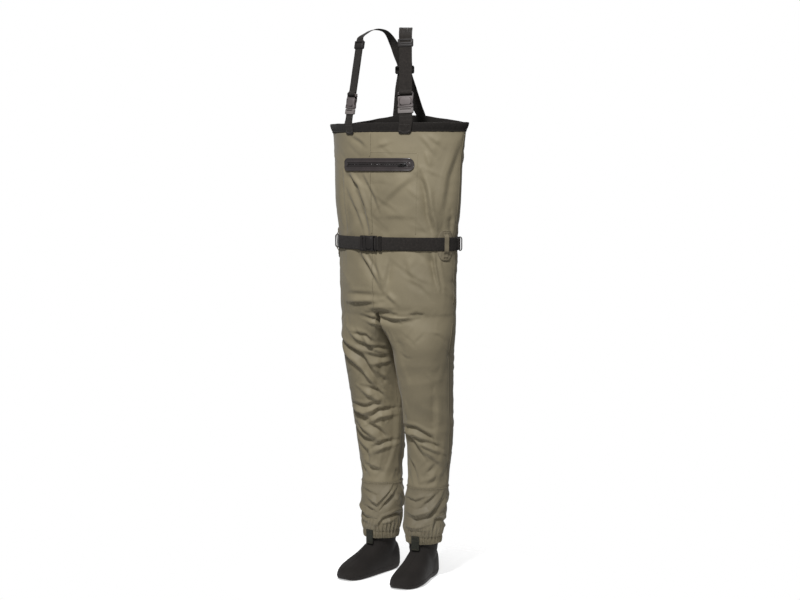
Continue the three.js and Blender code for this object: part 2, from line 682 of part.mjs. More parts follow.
const beltStation = (at) => ({ at, across: [0, 0, 1] });
const besideBuckle = (x) => beltStation(new THREE.Vector3(x, 0, 0).applyMatrix4(buckleAt).toArray());
const aroundBody = (t) => {
  const lift = (BUCKLE_LIFT - BELT_STANDOFF - 1) * smooth(0.5, 0.15, Math.abs(t - BUCKLE_ANGLE));
  const grow = BELT_STANDOFF + WEB_THICK / 2 + lift;
  return beltStation([...torsoSkin(t, BELT_HEIGHT, grow), BELT_HEIGHT]);
};
// The adjusting run lies between the plug and the fixed belt, and gives when the plug is let go.
const RUN_JOINT = -17 * TORSO_STEP;
const socketEnd = PLUG_START + BUCKLE_PLUG_FRAME + GAP + BUCKLE_SOCKET;
const fixedBelt = [
  besideBuckle(socketEnd + 2),
  besideBuckle(socketEnd + 14),
  ...anglesBetween(FRONT + TORSO_STEP, RUN_JOINT + Math.PI * 2 - 0.004, TORSO_STEP).map(aroundBody),
];
add("belt_webbing", strap(fixedBelt, WEBBING, WEB_THICK, 1), WEB);
const adjustingRun = [
  ...anglesBetween(RUN_JOINT, BUCKLE_ANGLE - 0.27, TORSO_STEP).map(aroundBody),
  besideBuckle(PLUG_START - 5),
  besideBuckle(PLUG_START + 6),
];
add("belt_adjusting_run", strap(adjustingRun, WEBBING, WEB_THICK, 1), WEB);

// Belt loops stand over the belt on oval patches, at both sides and at the middle of the back.
const LOOP_STANDOFF = 2.8;
function beltLoop(t) {
  const over = BELT_STANDOFF + WEB_THICK + 2.2;
  const profile = [
    [-41, LOOP_STANDOFF],
    [-WEBBING / 2 - 9, LOOP_STANDOFF],
    [-WEBBING / 2 - 1, over],
    [WEBBING / 2 + 1, over],
    [WEBBING / 2 + 9, LOOP_STANDOFF],
    [37, LOOP_STANDOFF],
  ];
  const stations = profile.map(([z, out]) => {
    const frame = onTorso(t, BELT_HEIGHT + z, out);
    const at = new THREE.Vector3().setFromMatrixPosition(frame).toArray();
    return { at, across: new THREE.Vector3().setFromMatrixColumn(frame, 0).toArray() };
  });
  return strap(stations, 15, 1.2, 2);
}
function loopPatch(t) {
  const [columns, rows] = [7, 7];
  const [halfAngle, halfHeight] = [0.21, 47];
  const level = (j) => -1 + (2 * j) / (rows - 1);
  const spread = (j) => 0.3 + 0.7 * Math.sqrt(1 - level(j) ** 2);
  const at = (grow) => (i, j) => {
    const angle = t + halfAngle * spread(j) * (-1 + (2 * i) / (columns - 1));
    const height = BELT_HEIGHT - 4 + halfHeight * level(j);
    return [...torsoSkin(angle, height, grow), height];
  };
  return wall(columns, rows, at(1.4), at(0.8));
}
const LOOP_ANGLE = -0.3;
addPair("belt_loop", beltLoop(LOOP_ANGLE), PATCH);
addPair("belt_loop_patch", loopPatch(LOOP_ANGLE), PATCH);
add("back_belt_loop", beltLoop(BACK), PATCH);
add("back_belt_loop_patch", loopPatch(BACK), PATCH);

// Each D-ring hangs from a folded webbing keeper on the belt, with its straight bar upright.
const RINGS = { left: 0.15, right: Math.PI + 0.12 };
const RING_WIRE = 1.8;
const RING_LEAN = THREE.MathUtils.degToRad(35); // how far it leans forwards from straight out
const ringSeat = BELT_STANDOFF + WEB_THICK + 3.4; // from the skin to the bar's middle
function ringOutline(inset) {
  const [half, reach, corner] = [22 - inset, 13 - inset, 8 - inset];
  const back = -RING_WIRE + inset;
  const outline = new THREE.Shape();
  outline.moveTo(back, -half);
  outline.lineTo(reach - corner, -half);
  outline.absarc(reach - corner, -half + corner, corner, -Math.PI / 2, 0);
  outline.absarc(reach - corner, half - corner, corner, 0, Math.PI / 2);
  outline.lineTo(back, half);
  outline.closePath();
  return outline;
}
// The outline's X is turned to point out of the body, and then leans.
const ringPlate = (inset, depth, lean) =>
  new THREE.ExtrudeGeometry(ringOutline(inset), { depth, bevelEnabled: false, curveSegments: 4 })
    .translate(0, 0, -depth / 2)
    .rotateX(Math.PI / 2)
    .rotateZ(FRONT + lean)
    .translate(0, -ringSeat, 0);
for (const [side, t] of Object.entries(RINGS)) {
  const frame = onTorso(t, BELT_HEIGHT);
  const lean = side === "left" ? -RING_LEAN : RING_LEAN;
  const ring = cut(ringPlate(0, RING_WIRE * 2, lean), ringPlate(RING_WIRE * 2, RING_WIRE * 4, lean));
  const keeper = cut(
    plate(18, WEBBING - 6, 2, 5.2, -ringSeat + 0.5),
    bar([0, -ringSeat, -30], [0, -ringSeat, 30], RING_WIRE * 1.7, 12),
    box(RING_WIRE * 3.4, 10, 60, 0, -ringSeat - 5, 0),
  );
  add(`${side}_belt_d_ring`, ring.applyMatrix4(frame), PLASTIC);
  add(`${side}_d_ring_keeper`, keeper.applyMatrix4(frame), WEB);
}

export default new THREE.Group().add(garment);
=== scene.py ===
# Stockingfoot chest waders: the fabrics, webbing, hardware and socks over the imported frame.
# Heights are measured up from the soles, lengths are in metres, and the wearer faces -Y.
import math

import bmesh
import bpy
import numpy as np
from mathutils import Matrix, Vector, noise
from mathutils.bvhtree import BVHTree


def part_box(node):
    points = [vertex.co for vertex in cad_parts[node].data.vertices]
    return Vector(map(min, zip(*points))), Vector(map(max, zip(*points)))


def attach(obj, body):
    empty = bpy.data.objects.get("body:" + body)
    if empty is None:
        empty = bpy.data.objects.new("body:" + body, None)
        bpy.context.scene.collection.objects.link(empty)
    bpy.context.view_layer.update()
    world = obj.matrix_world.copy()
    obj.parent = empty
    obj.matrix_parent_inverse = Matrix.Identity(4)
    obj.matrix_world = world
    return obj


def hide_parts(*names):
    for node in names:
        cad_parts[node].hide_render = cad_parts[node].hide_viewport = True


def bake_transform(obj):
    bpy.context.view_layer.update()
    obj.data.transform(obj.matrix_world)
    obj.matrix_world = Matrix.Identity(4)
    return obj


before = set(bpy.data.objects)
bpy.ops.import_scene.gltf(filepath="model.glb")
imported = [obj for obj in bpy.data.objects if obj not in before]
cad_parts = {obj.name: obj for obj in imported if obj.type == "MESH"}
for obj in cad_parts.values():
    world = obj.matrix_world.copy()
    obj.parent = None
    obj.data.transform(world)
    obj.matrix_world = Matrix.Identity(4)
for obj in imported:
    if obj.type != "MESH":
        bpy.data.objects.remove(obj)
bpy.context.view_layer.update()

SOLE_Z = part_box("left_neoprene_sock")[0][2]  # the row frame's Z at the soles
SETBACK = 0.033  # from the body's centre to the row frame's origin, along Y

# ---- driving dimensions ------------------------------------------------------------------
RIM_TOP = 1.406
RIM_BAND = 0.028
RIM_FLARE = 0.008
BACK_RISE = 0.026
CROTCH = 0.83
BELT_HEIGHT = 1.042
WEBBING = 0.04
WEB_THICK = 0.0022
ZIP_HEIGHT = 1.28
ZIP_LENGTH = 0.224
ZIP_RADIUS = 0.3
ZIP_PROUD = 0.1295
GUARD_TOP = 0.29
GUARD_HEM = 0.113
ANKLE_AT = {"left": (0.079, 0.024), "right": (-0.082, 0.026)}
TOES_OUT = {"left": math.radians(10), "right": math.radians(-2.5)}
FRONT, BACK = -math.pi / 2, math.pi / 2

# Body stations: height, half width, depth in front, depth behind.
TORSO = (
    (0.83, 0.203, 0.117, 0.107),
    (0.863, 0.205, 0.124, 0.11),
    (0.94, 0.205, 0.125, 0.107),
    (1.018, 0.208, 0.117, 0.103),
    (1.066, 0.209, 0.116, 0.102),
    (1.165, 0.222, 0.125, 0.097),
    (1.29, 0.231, 0.128, 0.083),
    (1.378, 0.244, 0.125, 0.066),
    (1.44, 0.248, 0.125, 0.057),
)
# Left leg stations: height, centre x, centre y, half width, half depth.
LEG = (
    (0.2, 0.082, 0.027, 0.051, 0.051),
    (0.29, 0.087, 0.038, 0.063, 0.064),
    (0.326, 0.09, 0.04, 0.064, 0.066),
    (0.45, 0.094, 0.034, 0.075, 0.077),
    (0.606, 0.097, 0.014, 0.084, 0.088),
    (0.73, 0.102, -0.002, 0.091, 0.098),
    (0.83, 0.103, 0.004, 0.1, 0.11),
)
GUARD = (
    (0.113, 0.081, 0.024, 0.054, 0.054),
    (0.14, 0.081, 0.024, 0.057, 0.057),
    (0.165, 0.0815, 0.026, 0.063, 0.063),
    (0.233, 0.083, 0.033, 0.0675, 0.068),
    (0.29, 0.087, 0.038, 0.0675, 0.0685),
)


# ---- camera, floor and light -------------------------------------------------------------
def look(location, target):
    return (Vector(target) - Vector(location)).to_track_quat("-Z", "Y")


scene = bpy.context.scene
VIEW_AZIMUTH = math.radians(35)
VIEW_DISTANCE = 5.35
VIEW_HEIGHT = 1.28
VIEW_PITCH = math.radians(4.46)  # below level
camera = bpy.data.objects.new("camera", bpy.data.cameras.new("camera"))
scene.collection.objects.link(camera)
camera.location = (
    math.sin(VIEW_AZIMUTH) * VIEW_DISTANCE,
    SETBACK - math.cos(VIEW_AZIMUTH) * VIEW_DISTANCE,
    SOLE_Z + VIEW_HEIGHT,
)
camera.rotation_euler = (math.pi / 2 - VIEW_PITCH, 0, VIEW_AZIMUTH)
camera.data.sensor_width = 36
camera.data.lens = 78.1
camera.data.shift_x = 0.0025
camera.data.clip_end = 200
scene.camera = camera
scene.view_settings.view_transform = "Standard"


def node_tree(owner):
    owner.use_nodes = True
    owner.node_tree.nodes.clear()
    return owner.node_tree


world = bpy.data.worlds.new("studio")
scene.world = world
tree = node_tree(world)
backdrop = tree.nodes.new("ShaderNodeBackground")
studio = tree.nodes.new("ShaderNodeBackground")
studio.inputs["Strength"].default_value = 0.2
pick = tree.nodes.new("ShaderNodeMixShader")
tree.links.new(tree.nodes.new("ShaderNodeLightPath").outputs["Is Camera Ray"], pick.inputs[0])
tree.links.new(studio.outputs[0], pick.inputs[1])
tree.links.new(backdrop.outputs[0], pick.inputs[2])
tree.links.new(pick.outputs[0], tree.nodes.new("ShaderNodeOutputWorld").inputs[0])
for light in (backdrop, studio):
    light.inputs["Color"].default_value = (1, 1, 1, 1)


def area_light(name, location, target, size, power):
    lamp = bpy.data.objects.new(name, bpy.data.lights.new(name, "AREA"))
    lamp.data.shape = "DISK"
    lamp.data.size = size
    lamp.data.energy = power
    lamp.location = location
    lamp.rotation_mode = "QUATERNION"
    lamp.rotation_quaternion = look(location, target)
    scene.collection.objects.link(lamp)


area_light("key_light", (0.9, -2.7, 2.5), (0, 0, -0.8), 0.55, 172)
area_light("front_light", (2.4, -3.9, 0.6), (0, 0, -0.7), 1.4, 26)
area_light("back_light", (-1.2, 3.6, 1.6), (0, 0, -0.8), 2.2, 80)


# ---- meshes ------------------------------------------------------------------------------
def place(x, y, height):
    """A point of the standing garment, in the row frame."""
    return Vector((x, y + SETBACK, height + SOLE_Z))


def new_object(name, vertices, faces, uvs=None, look_of=None):
    mesh = bpy.data.meshes.new(name)
    mesh.from_pydata([tuple(map(float, v)) for v in vertices], [], [tuple(f) for f in faces])
    if uvs is not None:
        layer = mesh.uv_layers.new(name="cloth")
        index = np.empty(len(mesh.loops), int)
        mesh.loops.foreach_get("vertex_index", index)
        layer.data.foreach_set("uv", np.asarray(uvs, float)[index].ravel())
    mesh.polygons.foreach_set("use_smooth", [True] * len(mesh.polygons))
    if look_of:
        mesh.materials.append(look_of)
    obj = bpy.data.objects.new(name, mesh)
    scene.collection.objects.link(obj)
    return obj


def apply_modifiers(obj):
    graph = bpy.context.evaluated_depsgraph_get()
    mesh = bpy.data.meshes.new_from_object(obj.evaluated_get(graph))
    old = obj.data
    obj.modifiers.clear()
    obj.data = mesh
    bpy.data.meshes.remove(old)


def subdivided(obj):
    finer = obj.modifiers.new("finer", "SUBSURF")
    finer.levels = finer.render_levels = 1
    apply_modifiers(obj)


def thickened(obj, thickness, offset=-1):
    wall = obj.modifiers.new("wall", "SOLIDIFY")
    wall.thickness, wall.offset = thickness, offset
    apply_modifiers(obj)


def joined(parts):
    """The vertices and faces of several (vertices, faces) shells together."""
    vertices, faces = [], []
    for points, polygons in parts:
        start = len(vertices)
        vertices += [tuple(p) for p in points]
        faces += [tuple(i + start for i in f) for f in polygons]
    return vertices, faces


def grid_faces(rows, columns, wrap=False):
    faces = []
    for i in range(rows - 1):
        for j in range(columns if wrap else columns - 1):
            k = (j + 1) % columns
            faces.append((i * columns + j, i * columns + k, (i + 1) * columns + k, (i + 1) * columns + j))
    return faces


# ---- materials ---------------------------------------------------------------------------
def srgb(red, green, blue):
    def linear(c):
        c /= 255
        return c / 12.92 if c <= 0.04045 else ((c + 0.055) / 1.055) ** 2.4

    return (linear(red), linear(green), linear(blue), 1)


class Shader:
    """A Principled material whose colour, roughness and bumps come from procedural nodes."""

    def __init__(self, name, roughness=0.6, metallic=0.0, specular=0.5):
        self.material = bpy.data.materials.new(name)
        self.tree = node_tree(self.material)
        self.surface = self.add("BsdfPrincipled")
        self.surface.inputs["Roughness"].default_value = roughness
        self.surface.inputs["Metallic"].default_value = metallic
        self.surface.inputs["Specular IOR Level"].default_value = specular
        self.link(self.surface.outputs[0], self.add("OutputMaterial").inputs[0])
        self.coordinates = self.add("TexCoord")
        self.normal = None

    def add(self, kind, **settings):
        node = self.tree.nodes.new("ShaderNode" + kind)
        for key, value in settings.items():
            setattr(node, key, value)
        return node

    def link(self, source, target):
        self.tree.links.new(source, target)

    def where(self, space="Object", scale=(1, 1, 1), turn=0):
        mapping = self.add("Mapping")
        mapping.inputs["Scale"].default_value = scale
        mapping.inputs["Rotation"].default_value = (0, 0, turn)
        self.link(self.coordinates.outputs[space], mapping.inputs["Vector"])
        return mapping.outputs[0]

    def noise(self, scale, detail=2, space="Object", stretch=(1, 1, 1), kind="FBM", distortion=0):
        node = self.add("TexNoise", noise_type=kind)
        node.inputs["Scale"].default_value = scale
        node.inputs["Detail"].default_value = detail
        node.inputs["Distortion"].default_value = distortion
        self.link(self.where(space, stretch), node.inputs["Vector"])
        return node.outputs[0]

    def wave(self, scale, direction="X", space="UV", profile="SIN", distortion=0, turn=0):
        node = self.add("TexWave", bands_direction=direction, wave_profile=profile)
        node.inputs["Scale"].default_value = scale
        node.inputs["Distortion"].default_value = distortion
        node.inputs["Detail"].default_value = 0
        self.link(self.where(space, turn=turn), node.inputs["Vector"])
        return node.outputs["Fac"]

    def maths(self, operation, a, b):
        node = self.add("Math", operation=operation)
        for socket, value in zip(node.inputs, (a, b)):
            if isinstance(value, (int, float)):
                socket.default_value = value
            else:
                self.link(value, socket)
        return node.outputs[0]

    def ramp(self, source, stops):
        node = self.add("ValToRGB")
        while len(node.color_ramp.elements) < len(stops):
            node.color_ramp.elements.new(0.5)
        for element, (position, colour) in zip(node.color_ramp.elements, stops):
            element.position = position
            element.color = colour if hasattr(colour, "__len__") else (colour, colour, colour, 1)
        self.link(source, node.inputs[0])
        return node.outputs[0]

    def colour(self, source, stops):
        self.link(self.ramp(source, stops), self.surface.inputs["Base Color"])
        return self

    def vary_roughness(self, source, low, high):
        self.link(self.ramp(source, ((0.3, low), (0.7, high))), self.surface.inputs["Roughness"])
        return self

    def bump(self, height, distance, strength=1.0):
        node = self.add("Bump")
        node.inputs["Distance"].default_value = distance
        node.inputs["Strength"].default_value = strength
        self.link(height, node.inputs["Height"])
        if self.normal is not None:
            self.link(self.normal, node.inputs["Normal"])
        self.normal = node.outputs[0]
        self.link(self.normal, self.surface.inputs["Normal"])
        return self

    def sheen(self, weight, roughness=0.4):
        self.surface.inputs["Sheen Weight"].default_value = weight
        self.surface.inputs["Sheen Roughness"].default_value = roughness
        return self

    def coat(self, weight, roughness=0.15):
        self.surface.inputs["Coat Weight"].default_value = weight
        self.surface.inputs["Coat Roughness"].default_value = roughness
        return self


def shifted(colour, factor):
    return tuple(c * factor for c in colour[:3]) + (1,)


def cloth_material(name, colour, crinkle=1.0, roughness=0.62):
    """Laminated plain-weave nylon: fine threads, small creases and a faint mottle."""
    s = Shader(name, roughness)
    mottle = s.noise(7, 4, distortion=0.4)
    s.colour(mottle, ((0.3, shifted(colour, 0.9)), (0.5, colour), (0.72, shifted(colour, 1.08))))
    s.vary_roughness(s.noise(40, 3), roughness - 0.06, roughness + 0.08)
    s.bump(s.noise(9, 4, kind="RIDGED_MULTIFRACTAL", distortion=0.5), 0.0034 * crinkle, 0.45)
    s.bump(s.noise(34, 3, stretch=(1, 1, 0.6), distortion=0.8), 0.0016 * crinkle, 0.5)
    threads = s.maths("MULTIPLY", s.wave(420, "X"), s.wave(420, "Y"))
    s.bump(threads, 0.00012, 0.5)
    s.sheen(0.12, 0.45)
    return s.material


def webbing_material(name, colour, pitch=0.0016):
    """Woven polypropylene webbing: ribs across the strap and a fine herringbone."""
    s = Shader(name, 0.78, specular=0.25)
    fuzz = s.noise(160, 3)
    s.colour(fuzz, ((0.3, shifted(colour, 0.75)), (0.55, colour), (0.8, shifted(colour, 1.5))))
    scale = 1 / (pitch * 6.28)
    ribs = s.wave(scale * 3.14, "Y", distortion=0.5)
    weft = s.wave(scale * 6.3, "DIAGONAL")
    s.bump(ribs, 0.0005, 0.7)
    s.bump(weft, 0.0002, 0.5)
    s.bump(fuzz, 0.0002, 0.4)
    s.sheen(0.05, 0.5)
    return s.material


def plastic_material(name, colour, roughness=0.42):
    s = Shader(name, roughness, specular=0.35)
    s.colour(s.noise(25, 4), ((0.3, shifted(colour, 0.9)), (0.7, shifted(colour, 1.1))))
    s.vary_roughness(s.noise(60, 5), roughness - 0.07, roughness + 0.1)
    s.bump(s.noise(900, 2), 0.00008, 0.5)
    return s.material


SHELL_COLOUR = srgb(135, 125, 101)
LOOKS = {
    "shell": cloth_material("shell_laminate", SHELL_COLOUR),
    "patch": cloth_material("shell_patch", srgb(127, 117, 96), 0.5),
    # The guards' cloth is greener than the shell's, which is its own hue, and darker, which is partly painted
    # shade of the lower legs.
    "guard": cloth_material("guard_laminate", srgb(121, 112, 91), 1.1),
    "webbing": webbing_material("black_webbing", srgb(44, 40, 37)),
    "tab_webbing": webbing_material("dark_green_webbing", srgb(47, 48, 40), 0.0012),
    "grey_plastic": plastic_material("grey_buckle_plastic", srgb(100, 93, 92)),
    "pale_plastic": plastic_material("pale_buckle_plastic", srgb(118, 112, 110)),
    "black_plastic": plastic_material("black_buckle_plastic", srgb(40, 37, 36), 0.5),
}


def binding_material():
    s = Shader("knit_binding", 0.9, specular=0.2)
    colour = srgb(36, 33, 31)
    fuzz = s.noise(220, 4)
    s.colour(fuzz, ((0.3, shifted(colour, 0.7)), (0.6, colour), (0.85, shifted(colour, 1.7))))
    knit = s.maths("MULTIPLY", s.wave(160, "X"), s.wave(110, "Y"))
    s.bump(knit, 0.0004, 0.6)
    s.bump(s.noise(30, 3), 0.0012, 0.35)
    s.sheen(0.06, 0.5)
    return s.material


def neoprene_material():
    s = Shader("neoprene_knit", 0.85, specular=0.25)
    colour = srgb(34, 31, 29)
    s.colour(s.noise(14, 5), ((0.3, shifted(colour, 0.85)), (0.7, shifted(colour, 1.2))))
    rib = s.add("TexVoronoi", feature="F1")
    rib.inputs["Scale"].default_value = 700
    s.link(s.where("Object"), rib.inputs["Vector"])
    s.bump(rib.outputs["Distance"], 0.0003, 0.6)
    s.bump(s.noise(35, 3), 0.0012, 0.25)
    s.sheen(0.06, 0.4)
    return s.material


def film_material(name, colour, roughness):
    s = Shader(name, roughness, specular=0.6)
    s.colour(s.noise(30, 3), ((0.3, shifted(colour, 0.85)), (0.7, shifted(colour, 1.15))))
    s.vary_roughness(s.noise(55, 3), roughness - 0.05, roughness + 0.12)
    s.bump(s.noise(26, 2, distortion=0.5), 0.0012, 0.35)
    s.coat(0.35, 0.2)
    return s.material


def steel_material():
    s = Shader("blackened_steel", 0.3, 1.0)
    colour = (0.07, 0.07, 0.072, 1)
    s.colour(s.noise(90, 3), ((0.3, shifted(colour, 0.85)), (0.7, shifted(colour, 1.1))))
    s.bump(s.noise(300, 2, stretch=(1, 8, 1)), 0.0001, 0.4)
    return s.material


def thread_material(name, colour):
    s = Shader(name, 0.7)
    s.colour(s.noise(400, 2), ((0.3, shifted(colour, 0.8)), (0.7, shifted(colour, 1.2))))
    s.bump(s.wave(900, "DIAGONAL", space="Object"), 0.0001, 0.5)
    return s.material


LOOKS["binding"] = binding_material()
LOOKS["neoprene"] = neoprene_material()
LOOKS["zip_film"] = film_material("welded_zip_film", srgb(58, 52, 52), 0.3)
LOOKS["zip_tape"] = film_material("coated_zip_tape", srgb(44, 40, 40), 0.22)
LOOKS["steel"] = steel_material()
LOOKS["dark_thread"] = thread_material("dark_thread", srgb(60, 55, 50))
LOOKS["olive_thread"] = thread_material("olive_thread", srgb(96, 88, 70))
# The guard's top seam thread is lighter than its own colour: a painted highlight where the seam catches the
# light.
LOOKS["painted_highlight_thread"] = thread_material("painted_highlight_thread", srgb(158, 148, 120))
LOOKS["grey_thread"] = thread_material("grey_thread", srgb(86, 82, 80))


def dress(obj, look_of, body="garment", stands_for=()):
    """The finish, the body a piece rides on, and the solids it is seen in place of."""
    if look_of and not obj.data.materials:
        obj.data.materials.append(LOOKS[look_of])
    if body:
        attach(obj, body)
    if stands_for:
        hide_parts(*stands_for)
    return obj


# ---- the body's skin ---------------------------------------------------------------------
def smooth(a, b, x):
    t = np.clip((np.asarray(x, float) - a) / (b - a), 0, 1)
    return t * t * (3 - 2 * t)


def station(table, height):
    """The rows of a station table at any heights, with smooth slopes between stations."""
    rows = np.array(table, float)
    x, v = rows[:, 0], rows[:, 1:]
    h = np.asarray(height, float)
    i = np.clip(np.searchsorted(x, h, side="right") - 1, 0, len(x) - 2)
    a, b = np.maximum(i - 1, 0), np.minimum(i + 2, len(x) - 1)
    span = (x[i + 1] - x[i])[..., None]
    t = np.clip((h - x[i]) / (x[i + 1] - x[i]), 0, 1)[..., None]
    m1 = (v[i + 1] - v[a]) / (x[i + 1] - x[a])[..., None] * span
    m2 = (v[b] - v[i]) / (x[b] - x[i])[..., None] * span
    out = (2 * t**3 - 3 * t**2 + 1) * v[i] + (3 * t**2 - 2 * t**3) * v[i + 1]
    return np.moveaxis(out + (t**3 - 2 * t**2 + t) * m1 + (t**3 - t**2) * m2, -1, 0)


def torso(t, height, grow=0.0):
    t = np.asarray(t, float)
    a, front, back = station(TORSO, height)
    flare = RIM_FLARE * smooth(1.378, RIM_TOP, height)
    sine = np.sin(t)
    b = np.where(sine < 0, front, back)
    bow = np.where(sine < 0, 0.6 * smooth(1.1, 1.4, height), 0)
    depth = (1 - bow) * sine + bow * sine * np.abs(sine)
    return (a + flare + grow) * np.cos(t), b * depth + grow * sine


def on_torso(t, height, grow=0.0):
    """Axes on the body: X along the skin to the wearer's left in front, -Y outwards, Z up."""
    before, after = np.array(torso(t - 0.01, height)), np.array(torso(t + 0.01, height))
    along = Vector((*(after - before), 0)).normalized()
    inwards = Vector((0, 0, 1)).cross(along)
    at = place(*torso(t, height), height) - inwards * grow
    return Matrix((along, inwards, Vector((0, 0, 1)))).transposed().to_4x4(), at


def frame_on_torso(t, height, grow=0.0):
    turn, at = on_torso(t, height, grow)
    return Matrix.Translation(at) @ turn


def rim_top(t):
    rise = np.clip((0.93 - np.abs(np.cos(t))) / 0.73, 0, 1)
    return RIM_TOP + np.where(np.sin(t) > 0, BACK_RISE * rise, 0)


def leg(angle, height, grow=0.0, table=LEG):
    """A point on the left leg. At the crotch the leg is half of the body."""
    cx, cy, rx, ry = station(table, height)
    dx, dy = np.cos(angle), np.sin(angle)
    r = 1 / np.hypot(dx / rx, dy / ry)
    if table is LEG:
        share = smooth(0.7, CROTCH, height)
        a, front, back = station(TORSO, np.full_like(np.asarray(height, float), CROTCH))
        b = np.where(dy < 0, front, back)
        k = (dx / a) ** 2 + (dy / b) ** 2
        m = cx * dx / a**2
        hit = (-m + np.sqrt(np.maximum(m * m + k * (1 - (cx / a) ** 2), 0))) / k
        inner = np.where(dx < -1e-6, (0.001 - cx) / np.minimum(dx, -1e-6), 1e9)
        r = r + (np.minimum(hit, inner) - r) * share
    return cx + (r + grow) * dx, cy + (r + grow) * dy


# ---- the shell's cloth -------------------------------------------------------------------
HALF_COLUMNS = 80  # from the middle of the front round one side to the middle of the back
CROTCH_COLUMNS = 20  # along the crotch, from back to front
TORSO_ROWS = 76
LEG_ROWS = 84
LEG_FOOT = 0.278  # just under the gravel guard's seam


def even_angles(count):
    """Angles that space points evenly round half of the body, from the front to the back."""
    t = np.linspace(FRONT, BACK, 721)
    points = np.array(torso(t, np.full_like(t, 1.1))).T
    length = np.concatenate(([0], np.cumsum(np.linalg.norm(np.diff(points, axis=0), axis=1))))
    return np.interp(np.linspace(0, length[-1], count + 1), length, t)


side_angles = even_angles(HALF_COLUMNS)
torso_angles = np.concatenate((side_angles, math.pi - side_angles[-2:0:-1]))
COLUMNS = len(torso_angles)

vertices, uvs = [], []


def add_row(points, us):
    first = len(vertices)
    for (x, y, h), u in zip(points, us):
        vertices.append((x, y, h))
        uvs.append((u, h))
    return first


torso_rows = []
for i in range(TORSO_ROWS + 1):
    level = i / TORSO_ROWS
    base = CROTCH + level * (RIM_TOP - 0.006 - CROTCH)
    heights = base + (rim_top(torso_angles) - RIM_TOP) * smooth(1.15, RIM_TOP, base)
    x, y = torso(torso_angles, heights)
    # UVs run in metres round the body and up it, so the weave keeps its scale.
    torso_rows.append(add_row(zip(x, y, heights), np.arange(COLUMNS) * 0.0069))

# The crotch seam, from the back to the front, arched a little between the legs.
crotch_at = len(vertices)
_, crotch_front, crotch_back = station(TORSO, CROTCH)
for k in range(1, CROTCH_COLUMNS):
    share = k / CROTCH_COLUMNS
    y = crotch_back + (-crotch_front - crotch_back) * share
    vertices.append((0, y, CROTCH + 0.01 * math.sin(share * math.pi)))
    uvs.append((0.56 + share * 0.22, CROTCH))

LEG_COLUMNS = HALF_COLUMNS + CROTCH_COLUMNS
outer = np.array(torso(side_angles, np.full(HALF_COLUMNS + 1, CROTCH))).T
inner = np.array(vertices[crotch_at:])[:, :2]
ring = np.concatenate((outer, inner))
centre = np.array(station(LEG, CROTCH)[:2])
top_angles = np.unwrap(np.arctan2(ring[:, 1] - centre[1], ring[:, 0] - centre[0]))
even = top_angles[0] + np.arange(LEG_COLUMNS) / LEG_COLUMNS * 2 * math.pi


def leg_angles(height):
    return top_angles + (even - top_angles) * smooth(0.8, 0.62, height)


faces = []
for i in range(TORSO_ROWS):
    for j in range(COLUMNS):
        k = (j + 1) % COLUMNS
        a, b = torso_rows[i], torso_rows[i + 1]
        faces.append((a + j, a + k, b + k, b + j))
for side, sign in (("left", 1), ("right", -1)):
    if side == "left":
        top = [torso_rows[0] + j for j in range(HALF_COLUMNS + 1)]
    else:
        top = [torso_rows[0] + (COLUMNS - j) % COLUMNS for j in range(HALF_COLUMNS + 1)]
    rows = [top + list(range(crotch_at, crotch_at + CROTCH_COLUMNS - 1))]
    for i in range(1, LEG_ROWS + 1):
        height = CROTCH + (LEG_FOOT - CROTCH) * i / LEG_ROWS
        angles = leg_angles(height)
        x, y = leg(angles, np.full(LEG_COLUMNS, height))
        u = np.arange(LEG_COLUMNS) * 0.0052
        start = add_row(zip(sign * x, y, np.full(LEG_COLUMNS, height)), u)
        rows.append(list(range(start, start + LEG_COLUMNS)))
    for upper, lower in zip(rows, rows[1:]):
        for j in range(LEG_COLUMNS):
            k = (j + 1) % LEG_COLUMNS
            face = (lower[j], lower[k], upper[k], upper[j])
            faces.append(face if sign > 0 else face[::-1])

base = np.array(vertices, float)
uvs = np.array(uvs)


def normals_of(points, polygons):
    quads = np.array(polygons)
    across = np.cross(points[quads[:, 2]] - points[quads[:, 0]], points[quads[:, 3]] - points[quads[:, 1]])
    total = np.zeros_like(points)
    for c in range(4):
        np.add.at(total, quads[:, c], across)
    return total / np.maximum(np.linalg.norm(total, axis=1, keepdims=True), 1e-12)
